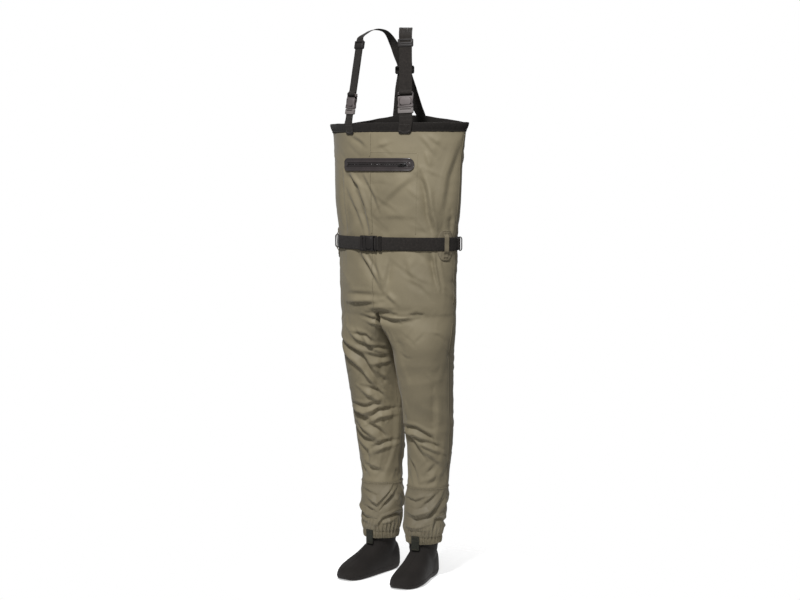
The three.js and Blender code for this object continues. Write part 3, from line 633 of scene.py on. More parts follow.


# ---- folds -------------------------------------------------------------------------------
# Each fold is a line of (angle in degrees round the body or leg, height in centimetres), then how
# far it stands out or in, and its half width, in millimetres. Most of the points were worked out
# by another program.
TORSO_FOLDS = (
    (((-114, 136.4), (-105, 135), (-99, 133.5)), -3, 6),
    (((-120, 125), (-108, 121), (-102, 115.5), (-99, 108)), -8, 10),
    (((-102, 125), (-93, 119.5), (-87, 114.5)), -4, 6),
    (((-129, 124.5), (-129, 116.5), (-129, 107.5)), -5, 8),
    (((-120, 119), (-111, 113.5), (-105, 108)), -3.5, 7),
    (((-113, 124), (-104.5, 118), (-98, 110)), 4.5, 9),
    (((-57, 125), (-69, 121.5), (-84, 116.5)), 2.6, 13),
    (((-81, 112.5), (-72, 113), (-60, 112.5)), 1.8, 11),
    (((-51, 125), (-45, 119.5), (-42, 113.5), (-36, 107.5)), -7, 9),
    (((-44, 122), (-37, 115), (-32, 108)), 3.5, 9),
    (((-36, 112.5), (-33, 107.5)), -3.5, 6),
    (((-54, 137), (-45, 133.5), (-39, 131)), 3, 7),
    (((-48, 137), (-36, 134)), 3, 7),
    (((-48, 132), (-42, 127)), 3, 7),
    (((-12, 112.5), (-9, 107.5)), -4, 8),
    (((-87, 133.5), (-78, 134.5)), 2, 6),
    (((-5, 134), (-18, 124), (-22, 112)), -3.5, 14),
    (((-108, 100.5), (-99, 97.5), (-87, 91.5)), -4.5, 8),
    (((-99, 101), (-93, 98), (-84, 94)), -3, 6),
    (((-104, 100.5), (-96, 97.5), (-86, 92.5)), 3.5, 6),
    (((-90, 101), (-81, 91)), 3, 8),
    (((-75, 100), (-78, 91)), -4, 9),
    (((-36, 101), (-33, 97.5), (-27, 91.5)), -6, 6),
    (((-30, 101), (-27, 97.5), (-21, 91.5)), -5, 6),
    (((-33, 101), (-30, 97.5), (-24, 91.5)), 3, 5),
    (((-120, 88.5), (-87, 88.5)), -3.5, 8),
    (((-78, 89), (-69, 86.5)), 4, 6),
    (((-123, 86), (-105, 86.5), (-87, 87)), 6, 9),
    (((-60, 100), (-52, 94)), 2.5, 12),
)
LEFT_FOLDS = (
    (((-138, 83), (-102, 83.6), (-74, 83)), -9, 8),
    (((-120, 81.8), (-100, 81.6), (-80, 82)), 6, 8),
    (((-141, 82.2), (-108, 80.4)), -6, 7),
    (((-100, 85.2), (-78, 85)), 5, 8),
    (((-129, 47.6), (-105, 48), (-87, 47.6), (-54, 45.2), (-45, 43.4)), -7, 7),
    (((-128, 46), (-90, 45.8), (-60, 43.2)), 7, 8),
    (((-84, 44.6), (-60, 43.4), (-27, 41.6)), -6, 6),
    (((-84, 43), (-55, 41.6), (-25, 40)), 6, 7),
    (((-120, 45.8), (-96, 43.4), (-81, 40.4), (-66, 38)), -6, 6),
    (((-72, 41), (-45, 38.6), (-21, 36.2)), 5, 9),
    (((-126, 38), (-105, 35.6), (-90, 31.4)), -4, 7),
    (((-42, 57.8), (-45, 46.4)), -3.5, 12),
    (((-140, 58), (-125, 54), (-118, 50)), -5, 14),
    (((-40, 36), (-62, 33.5)), -3, 7),
    (((-30, 33), (-70, 31)), 3, 8),
)
RIGHT_FOLDS = (
    (((-126, 83), (-153, 83)), -8, 9),
    (((-112, 84), (-90, 84.5)), 5, 10),
    (((-114, 81.8), (-147, 80)), -5, 6),
    (((-118, 80.4), (-145, 78.5)), 4, 6),
    (((-87, 76.4), (-117, 75.8), (-132, 73.4)), -5, 6),
    (((-80, 77), (-100, 74.5), (-125, 73)), 5, 8),
    (((-39, 74), (-84, 71), (-105, 69.2), (-120, 64.4), (-135, 60.2)), -9, 9),
    (((-48, 71.5), (-84, 68), (-103, 65.5), (-118, 61.8), (-130, 59.5)), 9, 10),
    (((-108, 76.4), (-132, 71.6), (-153, 70.4)), 6, 8),
    (((-105, 72.8), (-138, 72.2), (-162, 71)), -4, 6),
    (((-108, 71.2), (-135, 70), (-160, 69.4)), 5, 7),
    (((-123, 66.8), (-165, 67.4)), 4.5, 7),
    (((-135, 63.2), (-153, 60.8)), -5, 7),
    (((-102, 59.6), (-129, 58.4), (-144, 56)), -5, 6),
    (((-95, 58.6), (-120, 56), (-140, 54)), 6, 9),
    (((-66, 53.6), (-99, 53), (-123, 54.2)), -6, 7),
    (((-60, 52), (-92, 51), (-118, 52.6)), 6, 8),
    (((-48, 51.2), (-84, 50), (-102, 48.8)), -6, 7),
    (((-102, 49.4), (-126, 51.8), (-159, 52.4)), -7, 7),
    (((-104, 48), (-128, 50), (-160, 50.2)), 6, 8),
    (((-102, 47.6), (-126, 45.8), (-144, 42.8)), -6, 6),
    (((-70, 47.6), (-98, 45), (-122, 42.8)), 7, 8),
    (((-42, 45.8), (-81, 42.8), (-111, 41.6)), -8, 8),
    (((-102, 39.8), (-129, 41.6), (-162, 42.2)), -6, 7),
    (((-104, 38.4), (-130, 40), (-162, 40.6)), 5, 8),
    (((-57, 41), (-87, 38.6), (-90, 35)), -5, 7),
    (((-87, 33.8), (-120, 32.6)), -5, 6),
    (((-80, 35.2), (-115, 34)), 4, 7),
    (((-50, 34), (-75, 31.5)), -4, 7),
)


def fold_line(points, region):
    """A fold's line in space, in steps of about 3 mm, on the smooth skin."""
    angles = np.radians([p[0] for p in points])
    heights = np.array([p[1] for p in points]) / 100
    steps = np.linspace(0, 1, len(points))
    fine = np.linspace(0, 1, 60)
    angles, heights = np.interp(fine, steps, angles), np.interp(fine, steps, heights)
    if region == 0:
        x, y = torso(angles, heights)
        return np.stack((x, y, heights), 1)
    x, y = np.where(
        heights > CROTCH, torso(angles, np.maximum(heights, CROTCH)),
        leg(angles, np.minimum(heights, CROTCH))
    )
    return np.stack((region * x, y, heights), 1)


FOLD_SCALE = 1.5
FOLD_LIMIT = 0.011
LEG_MIDDLE = 0.095  # sideways from the middle of the body
# A fold's section, from below its line to above it, in half widths: the cloth hangs over itself,
# so it is steep on a ridge's underside and a valley's upper side.
FOLD_AT = (-3, -1.9, -1.1, -0.15, 0.15, 1.2, 2.2, 3)
RIDGE = (0, -0.12, -0.2, 1, 1, 0.55, 0.2, 0)
VALLEY = (0, 0.2, 0.5, 1, 1, -0.35, -0.25, 0)


def fold_shape(points, path, middle, depth, width):
    """How far one fold moves each point, for a line in space round a body whose middle is given."""
    gaps = np.linalg.norm(points[:, None] - path[None], axis=2)
    at = gaps.argmin(1)
    gap = gaps[np.arange(len(points)), at]
    along = at / (len(path) - 1)
    ends = np.minimum(1, np.minimum(along + 0.12, 1.12 - along) / 0.4)
    # Which side of the line a point is on; a line's upper side is the positive one.
    over = np.cross((path - (middle[0], middle[1], 0)) * (1, 1, 0), np.gradient(path, axis=0))
    over *= 1 if over[:, 2].sum() > 0 else -1
    side = ((points - path[at]) * over[at]).sum(1) / np.maximum(gap * np.linalg.norm(over[at], axis=1), 1e-9)
    u = gap / (width / 1000)
    crest = np.interp(u * np.clip(side * 2.5, -1, 1), FOLD_AT, RIDGE if depth > 0 else VALLEY)
    return depth / 1000 * ends * crest * np.clip(3.2 - u, 0, 1)


def fold_offsets(points, folds, region):
    offset = np.zeros(len(points))
    for line, depth, width in folds:
        path = fold_line(line, region)
        reach = width / 1000 * 3.2
        near = np.nonzero(((points > path.min(0) - reach) & (points < path.max(0) + reach)).all(1))[0]
        if len(near):
            offset[near] += FOLD_SCALE * fold_shape(
                points[near], path, (region * LEG_MIDDLE, 0), depth, width
            )
    return offset


def creases(count, seed, low, high, lean):
    """Short, shallow creases over a range of heights; lean is their usual slope in cm a degree."""
    pick = np.random.default_rng(seed)
    made = []
    for _ in range(count):
        angle, height = pick.uniform(-180, 180), pick.uniform(low, high)
        half, tilt, bend = pick.uniform(7, 17), pick.normal(lean, 0.12), pick.normal(0, 0.5)
        line = tuple((angle + half * k, height + half * k * tilt + bend * (1 - k * k)) for k in (-1, 0, 1))
        made.append((line, float(pick.choice((-1, 1))) * pick.uniform(0.4, 1.4), pick.uniform(4, 7)))
    return tuple(made)


def turned(folds, turn, shift, share):
    """The same folds turned round to another side, raised or lowered, and shallower."""
    return tuple(
        (tuple((a + turn, h + shift) for a, h in line), depth * share, width * 1.15)
        for line, depth, width in folds
    )


def ripple(points, scale, seed):
    offset = Vector((seed, seed * 1.7, seed * 0.6))
    return np.array([noise.noise(Vector(p) * scale + offset) for p in points])


skin_normals = normals_of(base, faces)


def to_row(points):
    return np.asarray(points) + (0, SETBACK, SOLE_Z)


def from_row(points):
    return np.asarray(points) - (0, SETBACK, SOLE_Z)


def vertices_of(obj):
    points = np.empty(len(obj.data.vertices) * 3)
    obj.data.vertices.foreach_get("co", points)
    return points.reshape(-1, 3)


def move_vertices(obj, points):
    obj.data.vertices.foreach_set("co", np.asarray(points, float).ravel())
    obj.data.update()


def vertex_group(obj, name, weights):
    group = obj.vertex_groups.new(name=name)
    for level in np.unique(np.round(weights, 2)):
        if level > 0:
            members = np.nonzero(np.isclose(np.round(weights, 2), level))[0]
            group.add([int(i) for i in members], float(level), "REPLACE")
    return group


def settle(obj, pinned, slack, wearer, frames):
    """Hangs the cloth over the wearer's unseen body, a little longer and wider than it needs."""
    vertex_group(obj, "pinned", pinned)
    vertex_group(obj, "slack", slack)
    cloth = obj.modifiers.new("cloth", "CLOTH")
    cloth.settings.quality = 6
    cloth.settings.mass = 0.2
    cloth.settings.tension_stiffness = cloth.settings.compression_stiffness = 25
    cloth.settings.shear_stiffness = 8
    cloth.settings.bending_stiffness = 1.5
    cloth.settings.tension_damping = cloth.settings.compression_damping = 10
    cloth.settings.air_damping = 4
    cloth.settings.vertex_group_mass = "pinned"
    cloth.settings.pin_stiffness = 5
    cloth.settings.vertex_group_shrink = "slack"
    cloth.settings.shrink_min = 0
    cloth.settings.shrink_max = -0.045
    cloth.settings.effector_weights.gravity = 0.6
    cloth.collision_settings.distance_min = 0.002
    cloth.collision_settings.collision_quality = 2
    body = wearer.modifiers.new("collision", "COLLISION")
    wearer.collision.thickness_outer = 0.002
    cloth.point_cache.frame_end = frames
    for step in range(1, frames + 1):
        scene.frame_set(step)
    apply_modifiers(obj)
    scene.frame_set(1)
    wearer.modifiers.remove(body)


shell = new_object("shell", to_row(base), faces, uvs)
height = base[:, 2]
hold_rim = smooth(RIM_TOP - 0.03, RIM_TOP - 0.012, height)
hold_belt = 1 - smooth(0.015, 0.022, np.abs(height - BELT_HEIGHT))
hold_foot = 1 - smooth(LEG_FOOT + 0.006, LEG_FOOT + 0.02, height)
hold_seam = 0.5 * (np.abs(height - CROTCH) < 0.02) * (np.abs(base[:, 0]) < 0.004)
pinned = np.maximum.reduce((hold_rim, hold_belt, hold_foot, hold_seam))
slack = np.where(height < CROTCH, 1.0, 0.35) * (1 - pinned)
wearer = new_object("wearer", to_row(base - skin_normals * 0.012), faces)
settle(shell, pinned, slack, wearer, 26)
bpy.data.objects.remove(wearer)
# The cloth keeps its small wrinkles and sag, and the body keeps its girth.
sag = ((from_row(vertices_of(shell)) - base) * skin_normals).sum(1)
girth = np.where(height < CROTCH, 0.8, 0.5)
move_vertices(shell, to_row(base + skin_normals * (np.clip(sag, -0.004, 0.005) * girth)[:, None]))
subdivided(shell)

fine = from_row(vertices_of(shell))
fine_faces = np.empty(len(shell.data.loops), int)
shell.data.loops.foreach_get("vertex_index", fine_faces)
fine_normals = normals_of(fine, fine_faces.reshape(-1, 4))
folds = fold_offsets(fine, TORSO_FOLDS, 0)
for side, own in ((1, LEFT_FOLDS), (-1, RIGHT_FOLDS)):
    back = turned(LEFT_FOLDS[4:] if side < 0 else RIGHT_FOLDS[6:], 192, -1.5, 0.4)
    small = creases(44, 5 + side, 30, 82, -0.06) + creases(16, 8 + side, 30, 60, 0.1)
    offsets = fold_offsets(fine, own + back + small, side)
    blend = 0.0015 + 0.014 * smooth(0.8, 0.83, fine[:, 2])
    own_side = np.clip(0.5 + fine[:, 0] * side / blend / 2, 0, 1)
    folds += own_side * offsets * smooth(0.885, 0.865, fine[:, 2])
folds += fold_offsets(fine, turned(TORSO_FOLDS[:17], 185, -2, 0.7), 0)
folds += fold_offsets(fine, creases(46, 3, 106, 134, -0.22) + creases(32, 4, 86, 102, -0.2), 0)
# Gathers where the belt cinches the waist, and short creases all over.
gathers = ripple(fine * (34, 34, 6), 1, 3) * np.exp(-(((fine[:, 2] - BELT_HEIGHT) / 0.05) ** 2)) * 0.005
legs = smooth(0.86, 0.7, fine[:, 2])
ridged = 1 - np.abs(ripple(fine * (9, 9, 17), 1, 21)) * 2
folds += gathers + ripple(fine * (9, 9, 5), 1, 11) * 0.003 + ridged * (0.0008 + 0.0008 * legs)
quiet = smooth(0.012, 0.034, np.abs(fine[:, 2] - BELT_HEIGHT))
quiet = quiet * smooth(RIM_TOP - 0.006, RIM_TOP - 0.06, fine[:, 2])
quiet = quiet * smooth(LEG_FOOT, LEG_FOOT + 0.03, fine[:, 2])
near_zip = (fine[:, 1] < 0) & (np.abs(fine[:, 0]) < 0.14)
flat_zip = np.where(near_zip, smooth(0.018, 0.04, np.abs(fine[:, 2] - ZIP_HEIGHT)), 1)
quiet = quiet * np.maximum(flat_zip, smooth(0.11, 0.14, np.abs(fine[:, 0])))
folds = np.clip(folds * quiet, -FOLD_LIMIT, FOLD_LIMIT)
# Crossing folds leave small steps on the grid, so each point is averaged with its neighbours.
edges = np.empty(len(shell.data.edges) * 2, int)
shell.data.edges.foreach_get("vertices", edges)
ends = np.concatenate((edges.reshape(-1, 2), edges.reshape(-1, 2)[:, ::-1]))
neighbours = np.bincount(ends[:, 0], minlength=len(folds))
for _ in range(2):
    nearby = np.bincount(ends[:, 0], weights=folds[ends[:, 1]], minlength=len(folds)) / neighbours
    folds = (folds + nearby) / 2
# The skin of the body and legs with no thickness, for the strips and stitches that lie on it.
move_vertices(shell, to_row(fine + fine_normals * folds[:, None]))
SKIN = BVHTree.FromPolygons(
    [v.co.copy() for v in shell.data.vertices], [tuple(p.vertices) for p in shell.data.polygons]
)
thickened(shell, 0.0008)
SHELL_NODES = [
    "chest_front_panel",
    "chest_back_panel",
    "left_leg_front_panel",
    "right_leg_front_panel",
    "left_leg_back_panel",
    "right_leg_back_panel",
]
dress(shell, "shell", stands_for=SHELL_NODES)


def on_skin(t, height, side=0):
    """A point on the folded cloth and the way out from it: side 0 is the body, 1 and -1 the legs."""
    if side == 0:
        x, y = torso(t, height)
        x0, y0 = torso(t, height, 0.03)
    else:
        x, y = leg(t, height, -0.01)
        x0, y0 = leg(t, height, 0.0125)
        x, x0 = x * side, x0 * side
    outside, inside = place(float(x0), float(y0), float(height)), place(float(x), float(y), float(height))
    way = (inside - outside).normalized()
    hit, _, _, _ = SKIN.ray_cast(outside, way, 0.06 if side == 0 else 0.026)
    return (hit, -way) if hit else ((inside + outside) / 2, -way)


# ---- ribbons, plates, tubes and stitches --------------------------------------------------
def spline(rows, step):
    """Points (rows of equal length) resampled along their smooth curve, at about the step given."""
    rows = [np.array(r, float) for r in rows]
    ends = [2 * rows[0] - rows[1], *rows, 2 * rows[-1] - rows[-2]]
    out = []
    for i in range(1, len(ends) - 2):
        p0, p1, p2, p3 = ends[i - 1 : i + 3]
        count = max(1, round(np.linalg.norm((p2 - p1)[:3]) / step))
        scale1 = np.linalg.norm((p2 - p1)[:3]) / max(np.linalg.norm((p2 - p0)[:3]), 1e-9)
        scale2 = np.linalg.norm((p2 - p1)[:3]) / max(np.linalg.norm((p3 - p1)[:3]), 1e-9)
        for k in range(count):
            t = k / count
            m1, m2 = (p2 - p0) * scale1, (p3 - p1) * scale2
            point = (2 * t**3 - 3 * t**2 + 1) * p1 + (t**3 - 2 * t**2 + t) * m1
            out.append(point + (3 * t**2 - 2 * t**3) * p2 + (t**3 - t**2) * m2)
    return np.array(out + [rows[-1]])


def closed_rings(rings, wrap=False):
    """Faces of a body made of rings of equal length, capped unless it wraps round."""
    count, sides = len(rings), len(rings[0])
    points = [tuple(p) for ring in rings for p in ring]
    polygons = []
    for i in range(count if wrap else count - 1):
        n = (i + 1) % count
        for j in range(sides):
            k = (j + 1) % sides
            polygons.append((i * sides + j, i * sides + k, n * sides + k, n * sides + j))
    if not wrap:
        polygons.append(tuple(range(sides - 1, -1, -1)))
        polygons.append(tuple((count - 1) * sides + j for j in range(sides)))
    return points, polygons


def outward(obj):
    mesh = bmesh.new()
    mesh.from_mesh(obj.data)
    bmesh.ops.recalc_face_normals(mesh, faces=mesh.faces)
    mesh.to_mesh(obj.data)
    mesh.free()
    return obj


def ribbon(name, rows, width, thick, look_of, step=0.003, cup=0.0, ripples=0.0, wrap=False, round_start=0.0):
    """A strap: rows are (centre, direction across). Its selvedges are rounded and a little thinner."""
    path = spline([(*c, *a) for c, a in rows], step)
    if wrap:
        path = path[:-1]
    centres, across = path[:, :3], path[:, 3:6]
    across /= np.linalg.norm(across, axis=1, keepdims=True)
    if wrap:
        tangent = np.roll(centres, -1, 0) - np.roll(centres, 1, 0)
    else:
        tangent = np.gradient(centres, axis=0)
    tangent /= np.linalg.norm(tangent, axis=1, keepdims=True)
    normal = np.cross(across, tangent)
    normal /= np.linalg.norm(normal, axis=1, keepdims=True)
    length = np.concatenate(([0], np.cumsum(np.linalg.norm(np.diff(centres, axis=0), axis=1))))
    places = np.array((-1, -0.965, -0.9, -0.6, -0.3, 0, 0.3, 0.6, 0.9, 0.965, 1.0))
    swell = np.array((0.35, 0.75, 1, 0.93, 0.93, 0.96, 0.93, 0.93, 1, 0.75, 0.35))
    rings, uv = [], []
    for i, (c, a, n) in enumerate(zip(centres, across, normal)):
        wob = ripples * noise.noise((length[i] * 22, 3.1, width * 50))
        edge = 1 + 0.006 * noise.noise((length[i] * 90, 7.7, 1.3))
        if length[i] < round_start:
            rest = 1 - length[i] / round_start
            edge *= 1 - 2 * round_start / width * (1 - math.sqrt(max(0, 1 - rest * rest)))
        ring = []
        for sign, order in ((1, range(11)), (-1, range(10, -1, -1))):
            for k in order:
                u = places[k] * width / 2 * edge
                lift = sign * swell[k] * thick / 2 + cup * (places[k] ** 2) + wob * math.cos(places[k] * 2)
                ring.append(c + a * u + n * lift)
                uv.append((u, length[i]))
        rings.append(ring)
    points, polygons = closed_rings(rings, wrap)
    return outward(new_object(name, points, polygons, uv, LOOKS[look_of]))


def tube(path, radius, sides=8, wrap=False, flat=1.0, up=(0, 0, 1)):
    """Rings round a path, for cords, wires, seams and threads."""
    path = np.array([tuple(p) for p in path], float)
    tangent = np.roll(path, -1, 0) - np.roll(path, 1, 0) if wrap else np.gradient(path, axis=0)
    tangent /= np.maximum(np.linalg.norm(tangent, axis=1, keepdims=True), 1e-12)
    rings = []
    side = None
    for p, t in zip(path, tangent):
        guess = np.array(up, float) if side is None else np.cross(t, side)
        if side is None and abs(np.dot(guess, t)) > 0.9:
            guess = np.array((1.0, 0.2, 0))
        side = np.cross(guess, t)
        side /= np.linalg.norm(side)
        over = np.cross(t, side)
        ring = []
        for k in range(sides):
            angle = k / sides * 2 * math.pi
            ring.append(p + side * math.cos(angle) * radius + over * math.sin(angle) * radius * flat)
        rings.append(ring)
    return closed_rings(rings, wrap)


def stitches(points, normals, length=0.0032, gap=0.0012, radius=0.00042):
    """Thread shells along a path: each stitch sinks into the cloth at both ends."""
    points = np.array([tuple(p) for p in points])
    normals = np.array([tuple(n) for n in normals])
    run = np.concatenate(([0], np.cumsum(np.linalg.norm(np.diff(points, axis=0), axis=1))))
    shells = []
    at = gap
    while at + length < run[-1]:
        marks = at + length * np.array((0, 0.16, 0.5, 0.84, 1))
        centre = np.stack([np.interp(marks, run, points[:, k]) for k in range(3)], 1)
        out = np.stack([np.interp(marks, run, normals[:, k]) for k in range(3)], 1)
        out /= np.linalg.norm(out, axis=1, keepdims=True)
        rise = radius * np.array((-0.9, 0.35, 0.75, 0.35, -0.9))
        shells.append(tube(centre + out * rise[:, None], radius, 5, up=out[2]))
        at += length + gap
    return shells


def thread_piece(name, shells, look_of, body="garment"):
    if not shells:
        return None
    obj = outward(new_object(name, *joined(shells), None, LOOKS[look_of]))
    return dress(obj, None, body)


def outline_plate(outline, holes, thick, bevel, resolution=2):
    """A bevelled plate standing in the XZ plane, its thickness along Y, as (vertices, faces)."""
    curve = bpy.data.curves.new("outline", "CURVE")
    curve.dimensions = "2D"
    curve.fill_mode = "BOTH"
    curve.extrude = thick / 2 - bevel
    curve.bevel_depth = bevel
    curve.bevel_resolution = resolution
    curve.offset = -bevel
    for loop in (outline, *holes):
        s = curve.splines.new("POLY")
        s.points.add(len(loop) - 1)
        s.use_cyclic_u = True
        for point, (x, z) in zip(s.points, loop):
            point.co = (x, z, 0, 1)
    obj = bpy.data.objects.new("outline", curve)
    scene.collection.objects.link(obj)
    mesh = bpy.data.meshes.new_from_object(obj.evaluated_get(bpy.context.evaluated_depsgraph_get()))
    bpy.data.objects.remove(obj)
    bpy.data.curves.remove(curve)
    points = [(v.co.x, -v.co.z, v.co.y) for v in mesh.vertices]
    polygons = [tuple(p.vertices) for p in mesh.polygons]
    bpy.data.meshes.remove(mesh)
    return points, polygons


def rounded(width, height, corner, x=0.0, z=0.0, steps=5):
    loop = []
    for k, (sx, sz) in enumerate(((1, 1), (-1, 1), (-1, -1), (1, -1))):
        for i in range(steps + 1):
            angle = (k + i / steps) * math.pi / 2
            loop.append((
                x + sx * (width / 2 - corner) + corner * math.cos(angle),
                z + sz * (height / 2 - corner) + corner * math.sin(angle),
            ))
    return loop


def mirrored(half):
    """A closed outline from its upper half."""
    return [*half, *((x, -z) for x, z in reversed(half))]


def rounded_box(w, d, h, x=0.0, y=0.0, z=0.0, bevel=0.0006):
    """A bevelled block, X wide, Y deep and Z high, as (vertices, faces)."""
    bevel = min(bevel, w * 0.45, d * 0.45, h * 0.45)
    points, polygons = outline_plate(rounded(w, h, bevel * 1.2, 0, 0, 3), (), d, bevel)
    return [(px + x, py + y, pz + z) for px, py, pz in points], polygons


def moved(part, matrix):
    points, polygons = part
    return [tuple(matrix @ Vector(p)) for p in points], polygons


def welded(name, parts, matrix=None, look_of=None, cuts=(), smooth_angle=35):
    """One object from overlapping closed parts, cut by others, then put in place."""
    obj = new_object(name, *joined(parts), None, LOOKS[look_of] if look_of else None)
    outward(obj)
    weld = obj.modifiers.new("weld", "WELD")
    weld.merge_threshold = 1e-6
    for k, part in enumerate(cuts):
        tool = outward(new_object(f"{name}_cut{k}", *part))
        hole = obj.modifiers.new("hole", "BOOLEAN")
        hole.operation, hole.object, hole.solver = "DIFFERENCE", tool, "EXACT"
        hole.use_self = True
        apply_modifiers(obj)
        bpy.data.objects.remove(tool)
    if matrix is not None:
        obj.data.transform(matrix)
    obj.data.shade_smooth()
    bpy.context.view_layer.objects.active = obj
    obj.data.set_sharp_from_angle(angle=math.radians(smooth_angle))
    return obj


MIRROR = Matrix.Diagonal((-1, 1, 1, 1))
SIDES = {"left": Matrix.Identity(4), "right": MIRROR}
RIM_PROUD = 0.002


def axes(x, y, z, at):
    return Matrix.Translation(at) @ Matrix((x, y, z)).transposed().to_4x4()


# ---- seams on the skin --------------------------------------------------------------------
def along_skin(path, side=0, step=0.004, lift=0.0):
    """Points and normals on the cloth along a line of (angle, height)."""
    path = np.array(path, float)
    points = [Vector((*(torso(t, h) if side == 0 else leg(t, h)), h)) for t, h in path]
    run = np.concatenate(([0], np.cumsum([(b - a).length for a, b in zip(points, points[1:])])))
    marks = np.linspace(0, run[-1], max(3, round(run[-1] / step)))
    found = [on_skin(np.interp(m, run, path[:, 0]), np.interp(m, run, path[:, 1]), side) for m in marks]
    return [p + n * lift for p, n in found], [n for _, n in found]


def seam(name, path, side=0, radius=0.0016, rows=(0.0035,), look_of="shell"):
    """A lapped seam: a low welt with its rows of stitches beside it."""
    points, normals = along_skin(path, side)
    welt = outward(new_object(name, *tube(points, radius, 8, flat=0.42, up=normals[0]), None, LOOKS[look_of]))
    dress(welt, None)
    threads = []
    for gap in rows:
        angle = gap / 0.2 if side == 0 else gap / 0.08
        line = [
            (t + angle, h) for t, h in path
        ] if abs(path[0][1] - path[-1][1]) > 0.05 else [(t, h - gap) for t, h in path]
        threads += stitches(*along_skin(line, side, 0.003, 0.0002))
    thread_piece(f"{name}_stitching", threads, "olive_thread")


MIDDLE = FRONT - 0.068  # the front seam is a little to the wearer's right of the middle
seam("front_seam_top", [(MIDDLE, 1.374), (MIDDLE, 1.304)])
seam("front_seam", [(MIDDLE, 1.257), (MIDDLE - 0.004, 1.16), (MIDDLE, 1.071)])
seam("front_seam_low", [(MIDDLE, 1.014), (MIDDLE + 0.01, 0.93), (FRONT - 0.03, 0.845)])
seam("left_side_seam", [(0.0, 1.372), (0.0, 1.066)])
seam("right_side_seam", [(math.pi, 1.372), (math.pi, 1.066)])
seam("left_hip_seam", [(0.0, 1.018), (0.0, 0.86)])
seam("right_hip_seam", [(math.pi, 1.018), (math.pi, 0.86)])
for side, sign in (("left", 1), ("right", -1)):
    seam(f"{side}_leg_seam", [(0.0, 0.8), (0.0, 0.3)], sign)
    seam(f"{side}_inside_seam", [(math.pi, 0.7), (math.pi, 0.3)], sign)
seam("pocket_top_weld", [(MIDDLE + 0.02, 1.3175), (FRONT + 0.62, 1.315)], radius=0.0011, rows=())
seam(
    "pocket_side_weld", [(FRONT + 0.63, 1.314), (FRONT + 0.65, 1.2), (FRONT + 0.66, 1.071)],
    radius=0.0011, rows=()
)

# ---- rim binding ------------------------------------------------------------------------
RIM_COLUMNS = 400
ring_t = np.interp(
    np.arange(RIM_COLUMNS) / RIM_COLUMNS * COLUMNS, np.arange(COLUMNS + 1),
    np.unwrap(np.append(torso_angles, torso_angles[0] + 2 * math.pi))
)
# Down the outside, under the edge and up the inside: share of the band's height, then the growth.
RIM_PROFILE = (
    (0.0, 0.0006), (0.02, 0.0016), (0.1, 0.0019), (0.16, 0.0014), (0.3, 0.0022), (0.55, 0.0026),
    (0.8, 0.0023),
    (0.93, 0.0017), (0.985, 0.0008), (1.0, -0.0006), (0.985, -0.0019), (0.9, -0.0027), (0.55, -0.003),
    (0.15, -0.0028), (0.03, -0.0024), (0.0, -0.0012),
)
rings, ring_uv = [], []
lumps = [noise.noise((math.cos(t) * 5, math.sin(t) * 5, 2.3)) for t in ring_t]
puckers = [noise.noise((math.cos(t) * 26, math.sin(t) * 26, 9.1)) for t in ring_t]
for i, t in enumerate(ring_t):
    top = float(rim_top(t)) + 0.0014 * lumps[i]
    ring = []
    for k, (share, grow) in enumerate(RIM_PROFILE):
        height = top - RIM_BAND * (1 - share) - 0.0008 * puckers[i] * (1 - share)
        fold = 0.0007 * puckers[i] * math.sin(share * math.pi) + 0.0009 * lumps[i]
        x, y = torso(t, height, grow + fold)
        ring.append(place(float(x), float(y), height))
        ring_uv.append((i * 1.38 / RIM_COLUMNS, share * 0.03 if k < 10 else -share * 0.03))
    rings.append(ring)
rim = outward(new_object("rim_binding_band", *closed_rings(rings, wrap=True), ring_uv, LOOKS["binding"]))
dress(rim, None, stands_for=["rim_binding"])


def on_rim(t, share, grow):
    height = float(rim_top(t)) - RIM_BAND * (1 - share)
    x, y = torso(t, height, grow)
    return place(float(x), float(y), height)


rim_points = [on_rim(t, 0.1, 0.0021) for t in ring_t] + [on_rim(ring_t[0], 0.1, 0.0021)]
rim_out = [(on_rim(t, 0.1, 0.01) - on_rim(t, 0.1, 0)).normalized() for t in ring_t]
thread_piece(
    "rim_stitching", stitches(rim_points, rim_out + rim_out[:1], 0.0036, 0.0014, 0.0004), "dark_thread"
)

# ---- gravel guards ------------------------------------------------------------------------
GUARD_COLUMNS, GUARD_ROWS = 288, 74
GUARD_MIDDLE = (0.083, 0.03)
GUARD_FOLD_SCALE = 1.45
GUARD_FOLDS = {
    "right": (
        (((-84, 24.2), (-111, 22.4), (-150, 27.4)), 5.5, 6),
        (((-128, 21.4), (-165, 26)), -6.5, 6),
        (((-112, 14.6), (-132, 17.6), (-180, 19.4)), -5.5, 6),
        (((-36, 21.8), (-69, 19.4)), 4.5, 6),
        (((-30, 20.4), (-70, 17.8), (-100, 17.6)), -4, 6),
        (((-60, 26.4), (-98, 25.4)), -3, 6),
        (((-40, 16.6), (-84, 15.6)), -3.5, 6),
        (((-120, 16), (-160, 17.2)), 4, 6),
        (((-75, 21.2), (-104, 20)), -4, 5),
    ),
    "left": (
        (((-110, 21.2), (-80, 20.6), (-45, 21.8), (-12, 27)), 5.5, 6),
        (((-104, 19.6), (-78, 19), (-48, 20), (-10, 24.6)), -5.5, 5.5),
        (((-30, 15.6), (-24, 19.2), (9, 19.4)), -5, 6),
        (((-125, 25.4), (-85, 24.6), (-60, 25.8)), -3.5, 6),
        (((-118, 17), (-80, 16.6), (-52, 17.4)), 4, 6),
        (((-115, 15.6), (-84, 15.2), (-50, 15.4)), -3, 5),
        (((-8, 22), (14, 25)), 4, 7),
        (((-62, 23.6), (-30, 26.8)), -3.5, 6),
    ),
}


